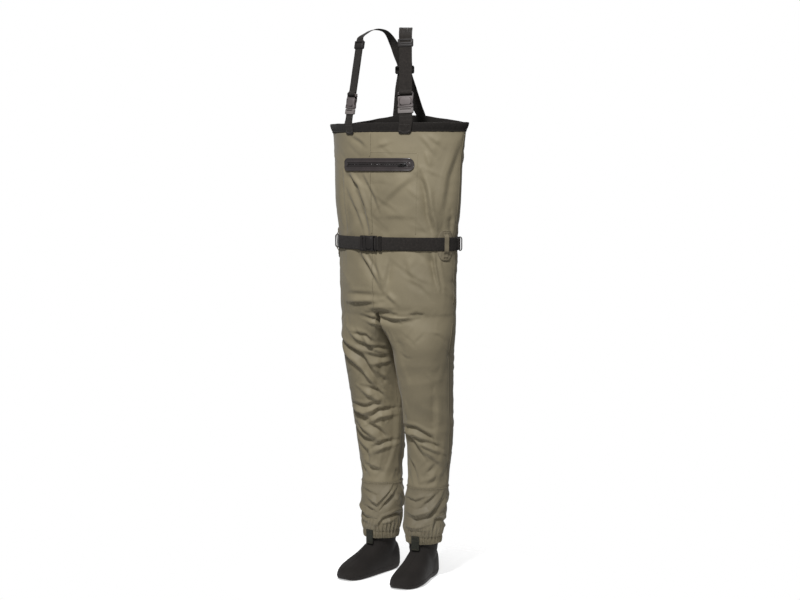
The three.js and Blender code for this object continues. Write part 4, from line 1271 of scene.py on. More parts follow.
def guard_skin(angle, height, grow=0.0):
    """The guard hugs the leg along its top seam, then follows its own fuller stations."""
    x0, y0 = leg(angle, height, 0.0016 + grow)
    x1, y1 = leg(angle, height, grow, GUARD)
    share = smooth(GUARD_TOP - 0.004, GUARD_TOP - 0.034, height)
    return x0 + (x1 - x0) * share, y0 + (y1 - y0) * share


def guard_folds(points, side, sign):
    offset = np.zeros(len(points))
    own = GUARD_FOLDS[side]
    other = GUARD_FOLDS["left" if side == "right" else "right"]
    for line, depth, width in own + turned(other, 185, -0.6, 0.8):
        fine_line = np.linspace(0, 1, 50)
        marks = np.linspace(0, 1, len(line))
        a = np.radians(np.interp(fine_line, marks, [p[0] for p in line]))
        h = np.interp(fine_line, marks, [p[1] for p in line]) / 100
        x, y = guard_skin(a, h)
        path = np.stack((sign * x, y, h), 1)
        middle = (sign * GUARD_MIDDLE[0], GUARD_MIDDLE[1])
        offset += GUARD_FOLD_SCALE * fold_shape(points, path, middle, depth, width)
    return offset


def hem_points(sign, angles, height, grow):
    x, y = guard_skin(angles, np.full_like(angles, height), grow)
    return [place(float(sign * a), float(b), float(height)) for a, b in zip(x, y)]


for side, sign in (("left", 1), ("right", -1)):
    angles = np.arange(GUARD_COLUMNS) / GUARD_COLUMNS * 2 * math.pi
    heights = GUARD_TOP + (GUARD_HEM - GUARD_TOP) * np.linspace(0, 1, GUARD_ROWS)
    A, H = np.meshgrid(angles, heights)
    x, y = guard_skin(A.ravel(), H.ravel())
    plain = np.stack((sign * x, y, H.ravel()), 1)
    out = np.stack((sign * np.cos(A.ravel()), np.sin(A.ravel()), 0 * x), 1)
    lean = A.ravel() * 31 + 2.2 * ripple(plain * (1, 1, 0) * 16, 1, 5 + sign) * 6.28 * 0.5
    above = np.maximum(H.ravel() - GUARD_HEM, 0)
    sharp = 1 - 2 * np.abs(np.sin(lean))
    pleat = sharp * (0.0022 * np.exp(-((above / 0.02) ** 2)) + 0.0018 * np.exp(-((above / 0.036) ** 2)))
    pleat += np.cos(lean) * 0.0024 * np.exp(-(((above - 0.032) / 0.02) ** 2))
    channel = -0.0016 * np.exp(
        -(((above - 0.0215) / 0.0028) ** 2)
    ) + 0.0008 * np.exp(-(((above - 0.011) / 0.007) ** 2))
    balloon = 0.0035 * np.exp(-(((above - 0.045) / 0.02) ** 2)) * (
        0.6 + ripple(plain * (14, 14, 8), 1, 7 + sign)
    )
    creased = guard_folds(plain, side, sign) + ripple(plain * 26, 1, 2) * 0.0012 + ripple(
        plain * (60, 60, 30), 1, 4
    ) * 0.0005
    hush = smooth(0, 0.016, GUARD_TOP - H.ravel()) * smooth(0.018, 0.05, above)
    tab_angle = FRONT + (TOES_OUT[side] if sign > 0 else -TOES_OUT[side])
    around = np.abs((A.ravel() - tab_angle + math.pi) % (2 * math.pi) - math.pi)
    by_tab = smooth(0.22, 0.36, around + smooth(0.145, 0.175, H.ravel()))
    seat = (1 - by_tab) * smooth(0.118, 0.136, H.ravel()) * 0.0022
    total = np.clip(
        creased * hush + balloon, -0.0075, 0.008
    ) * by_tab + pleat * (0.35 + 0.65 * by_tab) + channel + seat
    pucker = 0.0006 * np.cos(A.ravel() * 70) * np.exp(-(((GUARD_TOP - H.ravel()) / 0.012) ** 2))
    hem_wave = 0.0022 * ripple(plain * (30, 30, 0), 1, 8) * np.exp(-((above / 0.02) ** 2))
    points = plain + out * (total + pucker)[:, None] + np.stack((0 * x, 0 * x, hem_wave), 1)
    guard_uv = np.stack((A.ravel() * 0.062, H.ravel()), 1)
    polygons = [tuple(int(v) for v in f[::-sign]) for f in grid_faces(GUARD_ROWS, GUARD_COLUMNS, wrap=True)]
    guard = new_object(f"{side}_guard", to_row(points), polygons, guard_uv, LOOKS["guard"])
    subdivided(guard)
    thickened(guard, 0.0009)
    outward(guard)
    dress(guard, None, stands_for=[f"{side}_gravel_guard"])
    for name, height, grow, pitch in (
        ("top", GUARD_TOP - 0.0035, 0.001, 0.0032), ("hem", GUARD_HEM + 0.0215, -0.0008, 0.003)
    ):
        ring = np.append(np.linspace(0, 2 * math.pi, 200)[:-1], 2 * math.pi)
        line = hem_points(sign, ring, height, grow + (0.0003 if name == "top" else 0))
        tips = hem_points(sign, ring, height, grow + 0.01)
        # The top row's lighter thread is a painted highlight along the seam's lit edge.
        thread_piece(
            f"{side}_guard_{name}_stitching",
            stitches(line, [(b - a).normalized() for a, b in zip(line, tips)], pitch),
            "painted_highlight_thread" if name == "top" else "olive_thread"
        )
    # The elastic in the hem's channel, ribbed and lying inside the cloth.
    band = []
    for a in np.linspace(0, 2 * math.pi, 160)[:-1]:
        wobble = 0.0005 * math.cos(a * 50)
        (px,), (py,) = guard_skin(np.array([a]), np.array([GUARD_HEM + 0.009]), -0.0042 + wobble)
        band.append((place(sign * float(px), float(py), GUARD_HEM + 0.009), (0, 0, 1)))
    elastic = ribbon(f"{side}_hem_band", band, 0.014, 0.0014, "binding", step=0.002, wrap=True)
    dress(elastic, None, stands_for=[f"{side}_hem_elastic"])

# ---- neoprene socks -----------------------------------------------------------------------
HEEL_BACK = 0.074
FOOT = (
    (0.0, 0.012, 0.026, 0.062, 0), (0.007, 0.022, 0.011, 0.078, 0), (0.02, 0.03, 0.003, 0.092, 0),
    (0.045, 0.035, 0.0, 0.106, 0), (0.085, 0.038, 0.0, 0.112, 0), (0.12, 0.042, 0.0, 0.098, 0.002),
    (0.155, 0.046, 0.0, 0.076, 0.004), (0.195, 0.048, 0.0, 0.059, 0.005), (0.232, 0.042, 0.0, 0.048, 0.004),
    (0.256, 0.03, 0.003, 0.039, 0.002), (0.268, 0.012, 0.009, 0.028, 0),
)
ANKLE = (
    (0.05, 0.034, 0.044), (0.085, 0.041, 0.049), (0.118, 0.046, 0.047), (0.16, 0.048, 0.047),
    (0.2, 0.05, 0.05)
)


def ankle_frame(side):
    x, y = ANKLE_AT[side]
    turn = Matrix.Rotation(TOES_OUT["left"] if side == "left" else -TOES_OUT["right"], 4, "Z")
    return Matrix.Translation(place(x, y, 0)) @ SIDES[side] @ turn


def foot_ring(distance, grow=0.0, sides=40):
    half, low, high, shift = station(FOOT, distance)
    ring = []
    for k in range(sides):
        c, s = math.cos(k / sides * 2 * math.pi), math.sin(k / sides * 2 * math.pi)
        rise = 0.25 + 0.75 * s**0.9 if s > 0 else 0.25 * (1 - min(1, -s / 0.6) ** 0.7)
        x = shift + (half + grow) * math.copysign(abs(c) ** 0.75, c)
        ring.append((x, HEEL_BACK - distance, low + (high - low) * rise + grow * (rise - 0.25)))
    return ring


for side in SIDES:
    distances = np.concatenate(
        (np.linspace(0, 0.02, 8), np.linspace(0.026, 0.25, 44), np.linspace(0.253, 0.268, 8))
    )
    heights = np.linspace(0.05, 0.2, 40)
    ankle = [
        [(float(a) * math.cos(t), float(b) * math.sin(t), float(h)) for t in np.arange(48) / 48 * 2 * math.pi]
        for h, (a, b) in zip(heights, np.stack(station(ANKLE, heights), 1))
    ]
    parts = [closed_rings([foot_ring(float(d)) for d in distances]), closed_rings(ankle)]
    sock = outward(new_object(f"{side}_sock", *joined(parts)))
    remesh = sock.modifiers.new("remesh", "REMESH")
    remesh.mode, remesh.voxel_size = "VOXEL", 0.0026
    ease = sock.modifiers.new("ease", "SMOOTH")
    ease.factor, ease.iterations = 0.6, 14
    apply_modifiers(sock)
    points = vertices_of(sock)
    # Rubber foam bunches at the instep and over the heel, and never lies quite smooth.
    instep = np.exp(-(((points[:, 2] - 0.118) / 0.02) ** 2)) * smooth(0.01, -0.04, points[:, 1])
    rolls = 0.0016 * np.cos((points[:, 2] + points[:, 1] * 0.35) * 2 * math.pi / 0.017) * instep
    heel = np.exp(-(((points[:, 2] - 0.105) / 0.02) ** 2)) * smooth(0.01, 0.045, points[:, 1])
    rolls += 0.0011 * np.cos(points[:, 2] * 2 * math.pi / 0.015) * heel
    rolls += 0.0012 * ripple(points * 14, 1, 4) + 0.0004 * ripple(points * 50, 1, 6)
    mesh_normals = np.empty(len(points) * 3)
    sock.data.vertices.foreach_get("normal", mesh_normals)
    above_sole = smooth(0.002, 0.012, points[:, 2])
    points = points + mesh_normals.reshape(-1, 3) * (rolls * above_sole + 0.0004)[:, None]
    points[:, 2] = np.maximum(points[:, 2], 0.0002)
    move_vertices(sock, points)
    trim = bmesh.new()
    trim.from_mesh(sock.data)
    bmesh.ops.delete(trim, geom=[v for v in trim.verts if v.co.z > 0.1965], context="VERTS")
    trim.to_mesh(sock.data)
    trim.free()
    surface = BVHTree.FromPolygons(
        [v.co.copy() for v in sock.data.vertices], [tuple(p.vertices) for p in sock.data.polygons]
    )
    thickened(sock, 0.004)
    sock.data.transform(ankle_frame(side))
    if side == "right":
        sock.data.flip_normals()
    sock.data.shade_smooth()
    sock.data.materials.append(LOOKS["neoprene"])
    dress(sock, None, stands_for=[f"{side}_neoprene_sock"])

    def against(points):
        """Points pulled onto the sock, with its normals."""
        pairs = []
        for p in points:
            at, normal, _, _ = surface.find_nearest(Vector(p))
            pairs.append((at, normal))
        return pairs

    # The sole seam runs round the foot, and another runs over the instep and down the heel.
    edge = [foot_ring(float(d))[0] for d in distances] + [foot_ring(float(d))[20] for d in distances[::-1]]
    edge = [(x, y, min(z, 0.017) if y > -0.15 else z) for x, y, z in edge]
    middle = [(0.004, HEEL_BACK - d, 0.2) for d in np.linspace(0.14, 0.262, 40)]
    middle = [(x, y, foot_ring(HEEL_BACK - y)[10][2]) for x, y, _ in middle]
    heel_line = [(0, 0.09, h) for h in np.linspace(0.03, 0.16, 40)]
    seams = []
    for line, wrap in ((edge, True), (middle, False), (heel_line, False)):
        pairs = against(line)
        centre = [p + n * 0.0001 for p, n in pairs]
        seams.append(tube(centre, 0.0011, 8, wrap=wrap, flat=0.6, up=tuple(pairs[0][1])))
    piping = outward(new_object(f"{side}_sock_seams", *joined(seams), None, LOOKS["neoprene"]))
    piping.data.transform(ankle_frame(side))
    if side == "right":
        piping.data.flip_normals()
    dress(piping, None)

# ---- lace hook tabs -----------------------------------------------------------------------
TAB_FACE, TAB_TOP, TAB_LONG, TAB_WIDE = 0.0605, 0.139, 0.044, 0.026
for side in SIDES:
    frame_at = ankle_frame(side)
    face = -TAB_FACE - 0.001
    rows = [((0, face, TAB_TOP - TAB_LONG * k), (1, 0, 0)) for k in (0, 0.12, 0.5, 0.88, 1)]
    tab = ribbon(f"{side}_hook_tab_webbing", rows, TAB_WIDE, 0.002, "tab_webbing", step=0.0012, cup=0.0004)
    tab.data.transform(frame_at)
    dress(tab, None, f"{side}_hook_tab", [f"{side}_lace_hook_tab"])
    outward(tab)
    box_line = [(x, face - 0.0011, TAB_TOP - z) for x, z in (
        (-0.0105, 0.003), (0.0105, 0.003), (0.0105, 0.014), (-0.0105, 0.014), (-0.0105, 0.003))]
    low_line = [(x, face - 0.0011, TAB_TOP - z) for x, z in ((-0.0105, 0.041), (0.0105, 0.041))]
    threads = []
    for line in (box_line, low_line):
        for a, b in zip(line, line[1:]):
            ends = [frame_at @ Vector(a), frame_at @ Vector(b)]
            out = (frame_at.to_3x3() @ Vector((0, -1, 0))).normalized()
            threads += stitches(ends, [out, out], 0.0024, 0.0008, 0.0003)
    thread_piece(f"{side}_hook_tab_stitching", threads, "olive_thread", f"{side}_hook_tab")
    top = TAB_TOP - TAB_LONG + 0.022
    plane = -TAB_FACE + 0.001
    hook = welded(
        f"{side}_lacing_hook",
        [
            rounded_box(0.012, 0.0012, 0.006, 0, plane, top - 0.003, 0.0004),
            rounded_box(0.007, 0.0012, 0.012, 0, plane, top - 0.010, 0.0004),
            rounded_box(0.007, 0.0044, 0.0012, 0, plane + 0.0016, top - 0.0155, 0.0004),
            rounded_box(0.007, 0.0012, 0.004, 0, plane + 0.0032, top - 0.0141, 0.0004),
            moved(
                outline_plate(rounded(0.0034, 0.0034, 0.0016), (), 0.0016, 0.0004),
                Matrix.Translation((0, plane - 0.0006, top - 0.003))
            ),
        ],
        frame_at,
        "steel",
    )
    dress(hook, None, f"{side}_hook_tab", [f"{side}_lace_hook"])

# ---- pocket, zip and its surround ---------------------------------------------------------
ARC_BEHIND = ZIP_RADIUS - ZIP_PROUD


def on_arc(s, z, radius):
    angle = FRONT + s / ZIP_RADIUS
    return place(radius * math.cos(angle), ARC_BEHIND + radius * math.sin(angle), ZIP_HEIGHT + z)


def arc_sheet(name, length, height, corner, profile, look_of, columns=96):
    """A bent strip with rounded corners; profile gives, across it, (share of half height, radius)."""
    reach = length / 2
    rings, uv = [], []
    for i in range(columns):
        s = reach * math.sin((i / (columns - 1) - 0.5) * math.pi) * 0.9995
        over = max(0.0, abs(s) - (reach - corner))
        half = height / 2 - corner + math.sqrt(max(0.0, corner**2 - over**2))
        edge = smooth(0, 0.0022, reach - abs(s))
        ring = []
        for share, radius in profile(s):
            base_radius = ZIP_RADIUS + 0.0004
            ring.append(
                on_arc(s, share * half, base_radius + (radius - base_radius) * float(0.25 + 0.75 * edge))
            )
            uv.append((s, share * half))
        for share in (0.9, 0.3, -0.3, -0.9):
            ring.append(on_arc(s, share * half, ZIP_RADIUS - 0.0006))
            uv.append((s, share * half))
        rings.append(ring)
    return outward(new_object(name, *closed_rings(rings), uv, LOOKS[look_of]))


def both_edges(half, *middle):
    """A profile across a strip from the rows of its upper half, edge first, and any middle row."""
    return (*((-share, radius) for share, radius in half), *middle, *reversed(half))


SLOT = 0.0066 / 0.02  # half the slot's height as a share of the surround's


def surround_profile(s):
    inside = float(smooth(0.1145, 0.1125, abs(s)))
    deep = ZIP_RADIUS + 0.0022 - 0.0016 * inside
    lip = 0.0004 * inside
    high = ZIP_RADIUS + 0.0022
    ridge = 0.0005 * (1 + 0.3 * noise.noise((s * 60, 1, 1)))
    half = (
        (1, high - 0.0016), (0.985, high - 0.0006), (0.95, high + ridge), (0.86, high + ridge),
        (0.82, high), (0.6, high + 0.0002), (SLOT + 0.1, high + 0.0001), (SLOT + 0.04, high + lip),
        (SLOT + 0.005, high + lip), (SLOT - 0.01, deep),
    )
    return both_edges(half, (0, deep))


surround = arc_sheet("zip_surround_film", 0.268, 0.04, 0.019, surround_profile, "zip_film", 150)
dress(surround, None, stands_for=["zip_surround"])


def tape_profile(s):
    high = ZIP_RADIUS + 0.0014
    half = (
        (1, high - 0.0008), (0.94, high - 0.0001), (0.7, high), (0.36, high + 0.0002),
        (0.3, high + 0.0001), (0.24, high - 0.0005), (0.02, high - 0.0007),
    )
    return both_edges(half)


tape = arc_sheet("zip_coated_tape", 0.2255, 0.0128, 0.0025, tape_profile, "zip_tape", 120)
dress(tape, None, stands_for=["zip_tape"])
coil = []
for i in range(4 * 132):
    s = -0.108 + i * 0.0016 / 4
    coil.append(
        on_arc(
            s, 0.0013 * math.sin(i * math.pi / 2),
            ZIP_RADIUS + 0.00115 + 0.00025 * math.cos(i * math.pi / 2)
        )
    )
coil_piece = outward(new_object("zip_coil", *tube(coil, 0.00038, 6), None, LOOKS["zip_tape"]))
dress(coil_piece, None)
for k, sx in enumerate((-1, 1)):
    cap_at = on_arc(sx * 0.1185, 0, ZIP_RADIUS + 0.0022)
    angle = sx * 0.1185 / ZIP_RADIUS
    garage = moved(
        outline_plate(rounded(0.0145, 0.0125, 0.0055), (), 0.0022, 0.0007, 3),
        Matrix.Translation(cap_at) @ Matrix.Rotation(angle, 4, "Z")
    )
    dress(welded(f"zip_garage_{k + 1}", [garage], None, "zip_film"), None)

zip_end = Matrix.Translation(place(0, ARC_BEHIND, ZIP_HEIGHT)) @ Matrix.Rotation(
    (ZIP_LENGTH / 2 - 0.008) / ZIP_RADIUS, 4, "Z"
)
back = -(ZIP_RADIUS + 0.002)
upper = [(0.0052, 0.0026), (0.0028, 0.0043), (-0.001, 0.0045), (-0.0052, 0.0036), (-0.006, 0.0022)]
teardrop = [(0.0058, 0.0), *mirrored(upper)]
zip_slider = welded(
    "zip_slider_body",
    [
        moved(outline_plate(teardrop, (), 0.0022, 0.0006, 3), Matrix.Translation((0, back - 0.0012, 0))),
        rounded_box(0.0012, 0.0038, 0.002, -0.0044, back - 0.0036, 0, 0.0004),
        rounded_box(0.0012, 0.0038, 0.002, 0.0044, back - 0.0036, 0, 0.0004),
        rounded_box(0.0102, 0.0011, 0.002, 0, back - 0.0052, 0, 0.0004),
    ],
    zip_end,
    "steel",
)
dress(zip_slider, None, "pocket_zip_slider", ["zip_slider"])
grip = mirrored([(0.0005, 0.0024), (-0.0008, 0.0036), (-0.009, 0.0038), (-0.019, 0.0032), (-0.0215, 0.0016)])
pull_parts = [outline_plate(grip, (rounded(0.0056, 0.0036, 0.001, -0.0035, 0),), 0.0011, 0.0003)]
for k in range(4):
    pull_parts.append(rounded_box(0.0009, 0.0018, 0.005, -0.0105 - 0.0024 * k, 0, 0, 0.0003))
zip_pull = welded(
    "zip_pull_tab", pull_parts, zip_end @ Matrix.Translation((0, back - 0.0035, 0)), "black_plastic"
)
dress(zip_pull, None, "pocket_zip_pull", ["zip_pull"])

# The pocket's bag hangs behind the front, clear of its folds.
bag = []
bag_columns, bag_rows = 40, 22
for i in range(bag_rows):
    height = 1.262 - 0.167 * i / (bag_rows - 1)
    for j in range(bag_columns):
        t = FRONT + 4 * math.pi / 20 * (-1 + 2 * j / (bag_columns - 1))
        slump = 0.0012 * noise.noise((j * 0.25, i * 0.3, 4.0))
        x, y = torso(t, height, -0.0142 + slump)
        bag.append(place(float(x), float(y), height))
pocket = new_object("pocket_lining", bag, grid_faces(bag_rows, bag_columns), None, LOOKS["patch"])
thickened(pocket, 0.0006, 0)
outward(pocket)
dress(pocket, None, stands_for=["pocket_bag"])

# ---- side-release buckles -----------------------------------------------------------------
# X runs across the strap, Z along it from the plug to the socket, and -Y faces out.
BUCKLE_WIDTH, PLUG_FRAME, SOCKET_LONG, LADDER = 0.047, 0.017, 0.034, 0.012
GAP = 0.0004


def block(w, d, h, x=0.0, y=0.0, z=0.0):
    return rounded_box(w, d, h, x, y, z, 0.0001)


def plug_parts(foot):
    shoulder = foot + PLUG_FRAME
    window = rounded(0.033, 0.0042, 0.0014, 0, foot + 0.0105)
    frame_plate = outline_plate(
        rounded(BUCKLE_WIDTH, PLUG_FRAME, 0.0032, 0, foot + PLUG_FRAME / 2), (window,), 0.008, 0.0011, 3
    )
    parts = [frame_plate]
    for sign in (-1, 1):
        arm = [
            (0.0118, shoulder - 0.002), (0.0164, shoulder - 0.002), (0.0164, shoulder + 0.012),
            (0.0183, shoulder + 0.0158), (0.0183, shoulder + 0.0195), (0.0155, shoulder + 0.0238),
            (0.0125, shoulder + 0.0238), (0.0116, shoulder + 0.019),
        ]
        arm = [(sign * x, z) for x, z in (arm if sign > 0 else arm[::-1])]
        parts.append(outline_plate(arm, (), 0.004, 0.0005))
    guide = [
        (-0.004, shoulder - 0.002), (0.004, shoulder - 0.002), (0.004, shoulder + 0.015),
        (0.0022, shoulder + 0.019), (-0.0022, shoulder + 0.019), (-0.004, shoulder + 0.015),
    ]
    parts.append(outline_plate(guide, (), 0.004, 0.0005))
    for k in range(2):
        parts.append(rounded_box(0.036, 0.0006, 0.0007, 0, -0.00405, foot + 0.0143 + 0.0011 * k, 0.0003))
    return parts, [block(WEBBING + 0.0014, WEB_THICK + 0.001, 0.026, 0, 0, foot + 0.0015)]


def socket_parts(foot):
    top = foot + SOCKET_LONG
    middle = (foot + top) / 2
    h, w = SOCKET_LONG / 2, BUCKLE_WIDTH / 2
    outline = [
        (w - 0.003, middle + h), (w - 0.0008, middle + h - 0.001), (w, middle + h - 0.004),
        (w - 0.0003, middle + 0.006), (w - 0.0016, middle),
        (w - 0.0016, middle - 0.004), (w - 0.0003, middle - 0.009), (w, middle - h + 0.003),
        (w - 0.001, middle - h + 0.0008), (w - 0.004, middle - h),
    ]
    outline = outline[::-1]
    outline = outline + [(-x, z) for x, z in outline[::-1]]
    body = outline_plate(outline, (), 0.011, 0.0017, 4)
    boss = outline_plate(rounded(0.034, 0.022, 0.008, 0, middle + 0.0015), (), 0.0014, 0.0006, 3)
    parts = [
        body, moved(boss, Matrix.Translation((0, -0.0054, 0))),
        moved(boss, Matrix.Translation((0, 0.0054, 0)))
    ]
    parts.append(rounded_box(0.041, 0.0012, 0.0012, 0, -0.0053, foot + 0.0026, 0.0004))
    for sign in (-1, 1):
        horn = [
            (sign * 0.0205, top - 0.006), (sign * 0.0235, top - 0.006), (sign * 0.0235, top + 0.0095),
            (sign * 0.0228, top + 0.0118), (sign * 0.0213, top + 0.0118), (sign * 0.0205, top + 0.0098)
        ]
        horn = horn if sign > 0 else horn[::-1]
        parts.append(outline_plate(horn, (), 0.008, 0.0008))
    parts.append(rounded_box(BUCKLE_WIDTH - 0.001, 0.0031, 0.0032, 0, -0.0043, top + LADDER - 0.0015, 0.0012))
    parts.append(rounded_box(BUCKLE_WIDTH - 0.001, 0.003, 0.003, 0, 0.0043, top + 0.004, 0.0011))
    cavity = block(BUCKLE_WIDTH - 0.006, 0.0054, SOCKET_LONG, 0, 0, middle - 0.003)
    window = moved(
        outline_plate(
            [(z, y) for z, y in rounded(0.013, 0.0044, 0.0018)], (), BUCKLE_WIDTH + 0.01, 0.0001
        ),
        Matrix.Translation((0, 0, foot + 0.018)) @ Matrix(
            ((0, 1, 0, 0), (0, 0, 1, 0), (1, 0, 0, 0), (0, 0, 0, 1))
        )
    )
    return parts, [cavity, window]


def buckle(prefix, at, foot, colours, bodies, stands_for):
    parts, cuts = plug_parts(foot)
    plug = welded(f"{prefix}_plug_detail", parts, at, colours[0], cuts)
    parts, cuts = socket_parts(foot + PLUG_FRAME + GAP)
    socket = welded(f"{prefix}_socket_detail", parts, at, colours[1], cuts)
    for obj, body, node in zip((plug, socket), bodies, stands_for):
        outward(obj)
        dress(obj, None, body, [node])


# ---- suspenders ---------------------------------------------------------------------------
ANCHOR_ANGLE = FRONT + 0.425
BACK_STRAP_ANGLE = BACK - 0.173
anchor_at = frame_on_torso(ANCHOR_ANGLE, RIM_TOP, RIM_PROUD + WEB_THICK / 2 + 0.001).translation
run_top = place(0.084, -0.081, 1.657)
run_up = (run_top - anchor_at).normalized()
run_across = Vector((0.93, 0.37, 0))
run_across = (run_across - run_up * run_across.dot(run_up)).normalized()
run_back = run_up.cross(run_across)
RUN = (run_top - anchor_at).length
PLUG_FOOT = 0.027
SOCKET_TOP = PLUG_FOOT + PLUG_FRAME + GAP + SOCKET_LONG


def along_run(distance, back=0.0):
    return anchor_at + run_up * distance + run_back * back


def anchor_row(height, grow):
    turn, at = on_torso(ANCHOR_ANGLE, height, grow)
    return at, turn.to_3x3() @ Vector((1, 0, 0))


def mirror_if(obj, side):
    if side == "right":
        obj.data.transform(MIRROR)
        obj.data.flip_normals()
    return obj


def edge_stitches(rows, width, thick, inset):
    """Two rows of stitches along a ribbon's edges, on its outer face."""
    path = spline([(*c, *a) for c, a in rows], 0.003)
    centres, across = path[:, :3], path[:, 3:6] / np.linalg.norm(path[:, 3:6], axis=1, keepdims=True)
    tangent = np.gradient(centres, axis=0)
    normal = np.cross(across, tangent)
    normal /= np.linalg.norm(normal, axis=1, keepdims=True)
    shells = []
    for sign in (-1, 1):
        line = centres + across * sign * (width / 2 - inset) + normal * (thick / 2)
        shells += stitches(line, normal, 0.0026, 0.001, 0.00035)
    return shells


def flat_stitches(points, out, length=0.0026, gap=0.001, radius=0.00035):
    shells = []
    for a, b in zip(points, points[1:]):
        shells += stitches([Vector(a), Vector(b)], [Vector(out), Vector(out)], length, gap, radius)
    return shells


YOKE_Y, YOKE_HEIGHT = 0.036, 1.571
for side in SIDES:
    sign = 1 if side == "left" else -1
    tab_rows = [
        anchor_row(1.3715, WEB_THICK / 2 + 0.0014), anchor_row(1.379, RIM_PROUD + WEB_THICK / 2 + 0.001),
        anchor_row(1.39, RIM_PROUD + WEB_THICK / 2 + 0.001), (along_run(0), anchor_row(RIM_TOP, 0)[1]),
        (along_run(0.013), run_across), (along_run(PLUG_FOOT + 0.0138), run_across),
    ]
    tab = ribbon(
        f"{side}_anchor_webbing", tab_rows, WEBBING, WEB_THICK, "webbing", step=0.001, cup=0.0003,
        round_start=0.009
    )
    dress(mirror_if(tab, side), None, stands_for=[f"{side}_front_anchor_tab"])
    # A curved row of stitches holds the tab below the rim, with a straight one across it above.
    threads = []
    for low, bend in ((1.3742, 0.0075), (1.377, 0.0065), (1.3985, 0.0)):
        line, out = [], []
        for k in range(17):
            u = -1 + k / 8
            height = low + bend * u * u
            at, across = anchor_row(
                height, WEB_THICK + 0.0014 + (RIM_PROUD - 0.0003) * float(smooth(1.3715, 1.379, height))
            )
            turn, _ = on_torso(ANCHOR_ANGLE, height)
            line.append(at + across * u * 0.0172)
            out.append(turn.to_3x3() @ Vector((0, -1, 0)))
        threads += stitches(line, out, 0.0026, 0.001, 0.0004)
    at_run = anchor_at + run_up * 0.018 - run_back * (WEB_THICK / 2)
    threads += flat_stitches([at_run - run_across * 0.018, at_run + run_across * 0.018], -run_back)
    mirror_if(thread_piece(f"{side}_anchor_stitching", threads, "grey_thread"), side)

    run_frame = SIDES[side] @ axes(run_across, run_back, run_up, anchor_at)
    body = f"{side}_strap_end"
    buckle(
        f"{side}_strap", run_frame, PLUG_FOOT, ("pale_plastic", "grey_plastic"), ("garment", body),
        (f"{side}_buckle_plug", f"{side}_buckle_socket"),
    )
    # The strap is doubled between the buckle and the slider, and the loose layer bows a little.
    start = SOCKET_TOP + GAP
    for layer, offset in (("outer", -0.0013), ("inner", 0.0013)):
        if offset < 0:
            bends = (
                (0.0048, -0.0012), (0.0062, -0.0046), (0.0085, -0.0067), (0.0122, -0.0067),
                (0.0152, -0.004), (0.0182, -0.0016)
            )
        else:
            bends = ((0.0, offset), (0.014, offset))
        rows = [
            *((along_run(start + up, back), run_across) for up, back in bends),
            (along_run((start + RUN) / 2, offset * 1.12), run_across),
            (along_run(RUN - 0.028, offset), run_across),
            (along_run(RUN, offset), run_across),
        ]
        run = ribbon(
            f"{side}_run_{layer}_layer", rows, WEBBING - 0.001, WEB_THICK, "webbing",
            cup=math.copysign(0.0002, offset), ripples=0.0001
        )
        dress(mirror_if(run, side), None, body, [f"{side}_strap_front_run"])
    slider_at = RUN - 0.014
    slider_plate = outline_plate(
        rounded(0.047, 0.024, 0.0035, 0, slider_at),
        (), 0.0084, 0.0014, 3,
    )
    front_window = block(0.035, 0.006, 0.0072, 0, -0.003, slider_at + 0.0042)
    bars = [
        rounded_box(0.043, 0.0016, 0.0045, 0, -0.0043, slider_at - 0.0068, 0.0007),
        rounded_box(0.0455, 0.0012, 0.0016, 0, -0.0042, slider_at + 0.0103, 0.0005)
    ]
    slider = welded(
        f"{side}_slider_frame", [slider_plate, *bars], run_frame, "black_plastic",
        [block(WEBBING + 0.0006, 0.0058, 0.04, 0, 0, slider_at), front_window],
    )
    outward(slider)
    dress(slider, None, f"{side}_slider", [f"{side}_strap_slider"])

    lay = -0.0016 * sign
    rows = [
        (along_run(RUN - 0.004), run_across), (along_run(RUN + 0.009), (0.89, 0.45, 0)),
        (place(0.074, -0.066, 1.678), (0.82, 0.57, 0)),
        (place(0.065, -0.051, 1.6875), (0.79, 0.61, 0)), (place(0.052, -0.033, 1.6919), (0.79, 0.61, 0)),
        (place(0.036, -0.011, 1.684), (0.84, 0.54, 0)), (place(0.023, 0.009 + lay, 1.65), (0.97, 0.22, 0)),
        (place(0.014, 0.024 + lay, 1.612), (1, 0.05, 0)),
        (place(0.009, YOKE_Y + lay, YOKE_HEIGHT + 0.014), (1, 0, 0)),
        (place(0.009, YOKE_Y + lay, YOKE_HEIGHT + 0.001), (1, 0, 0)),
    ]
    strap = ribbon(f"{side}_over_shoulder", rows, WEBBING, WEB_THICK, "webbing", cup=0.0002, ripples=0.00015)
    mirror_if(strap, side)
    dress(strap, None, None, [f"{side}_shoulder_strap"])
    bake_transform(strap)

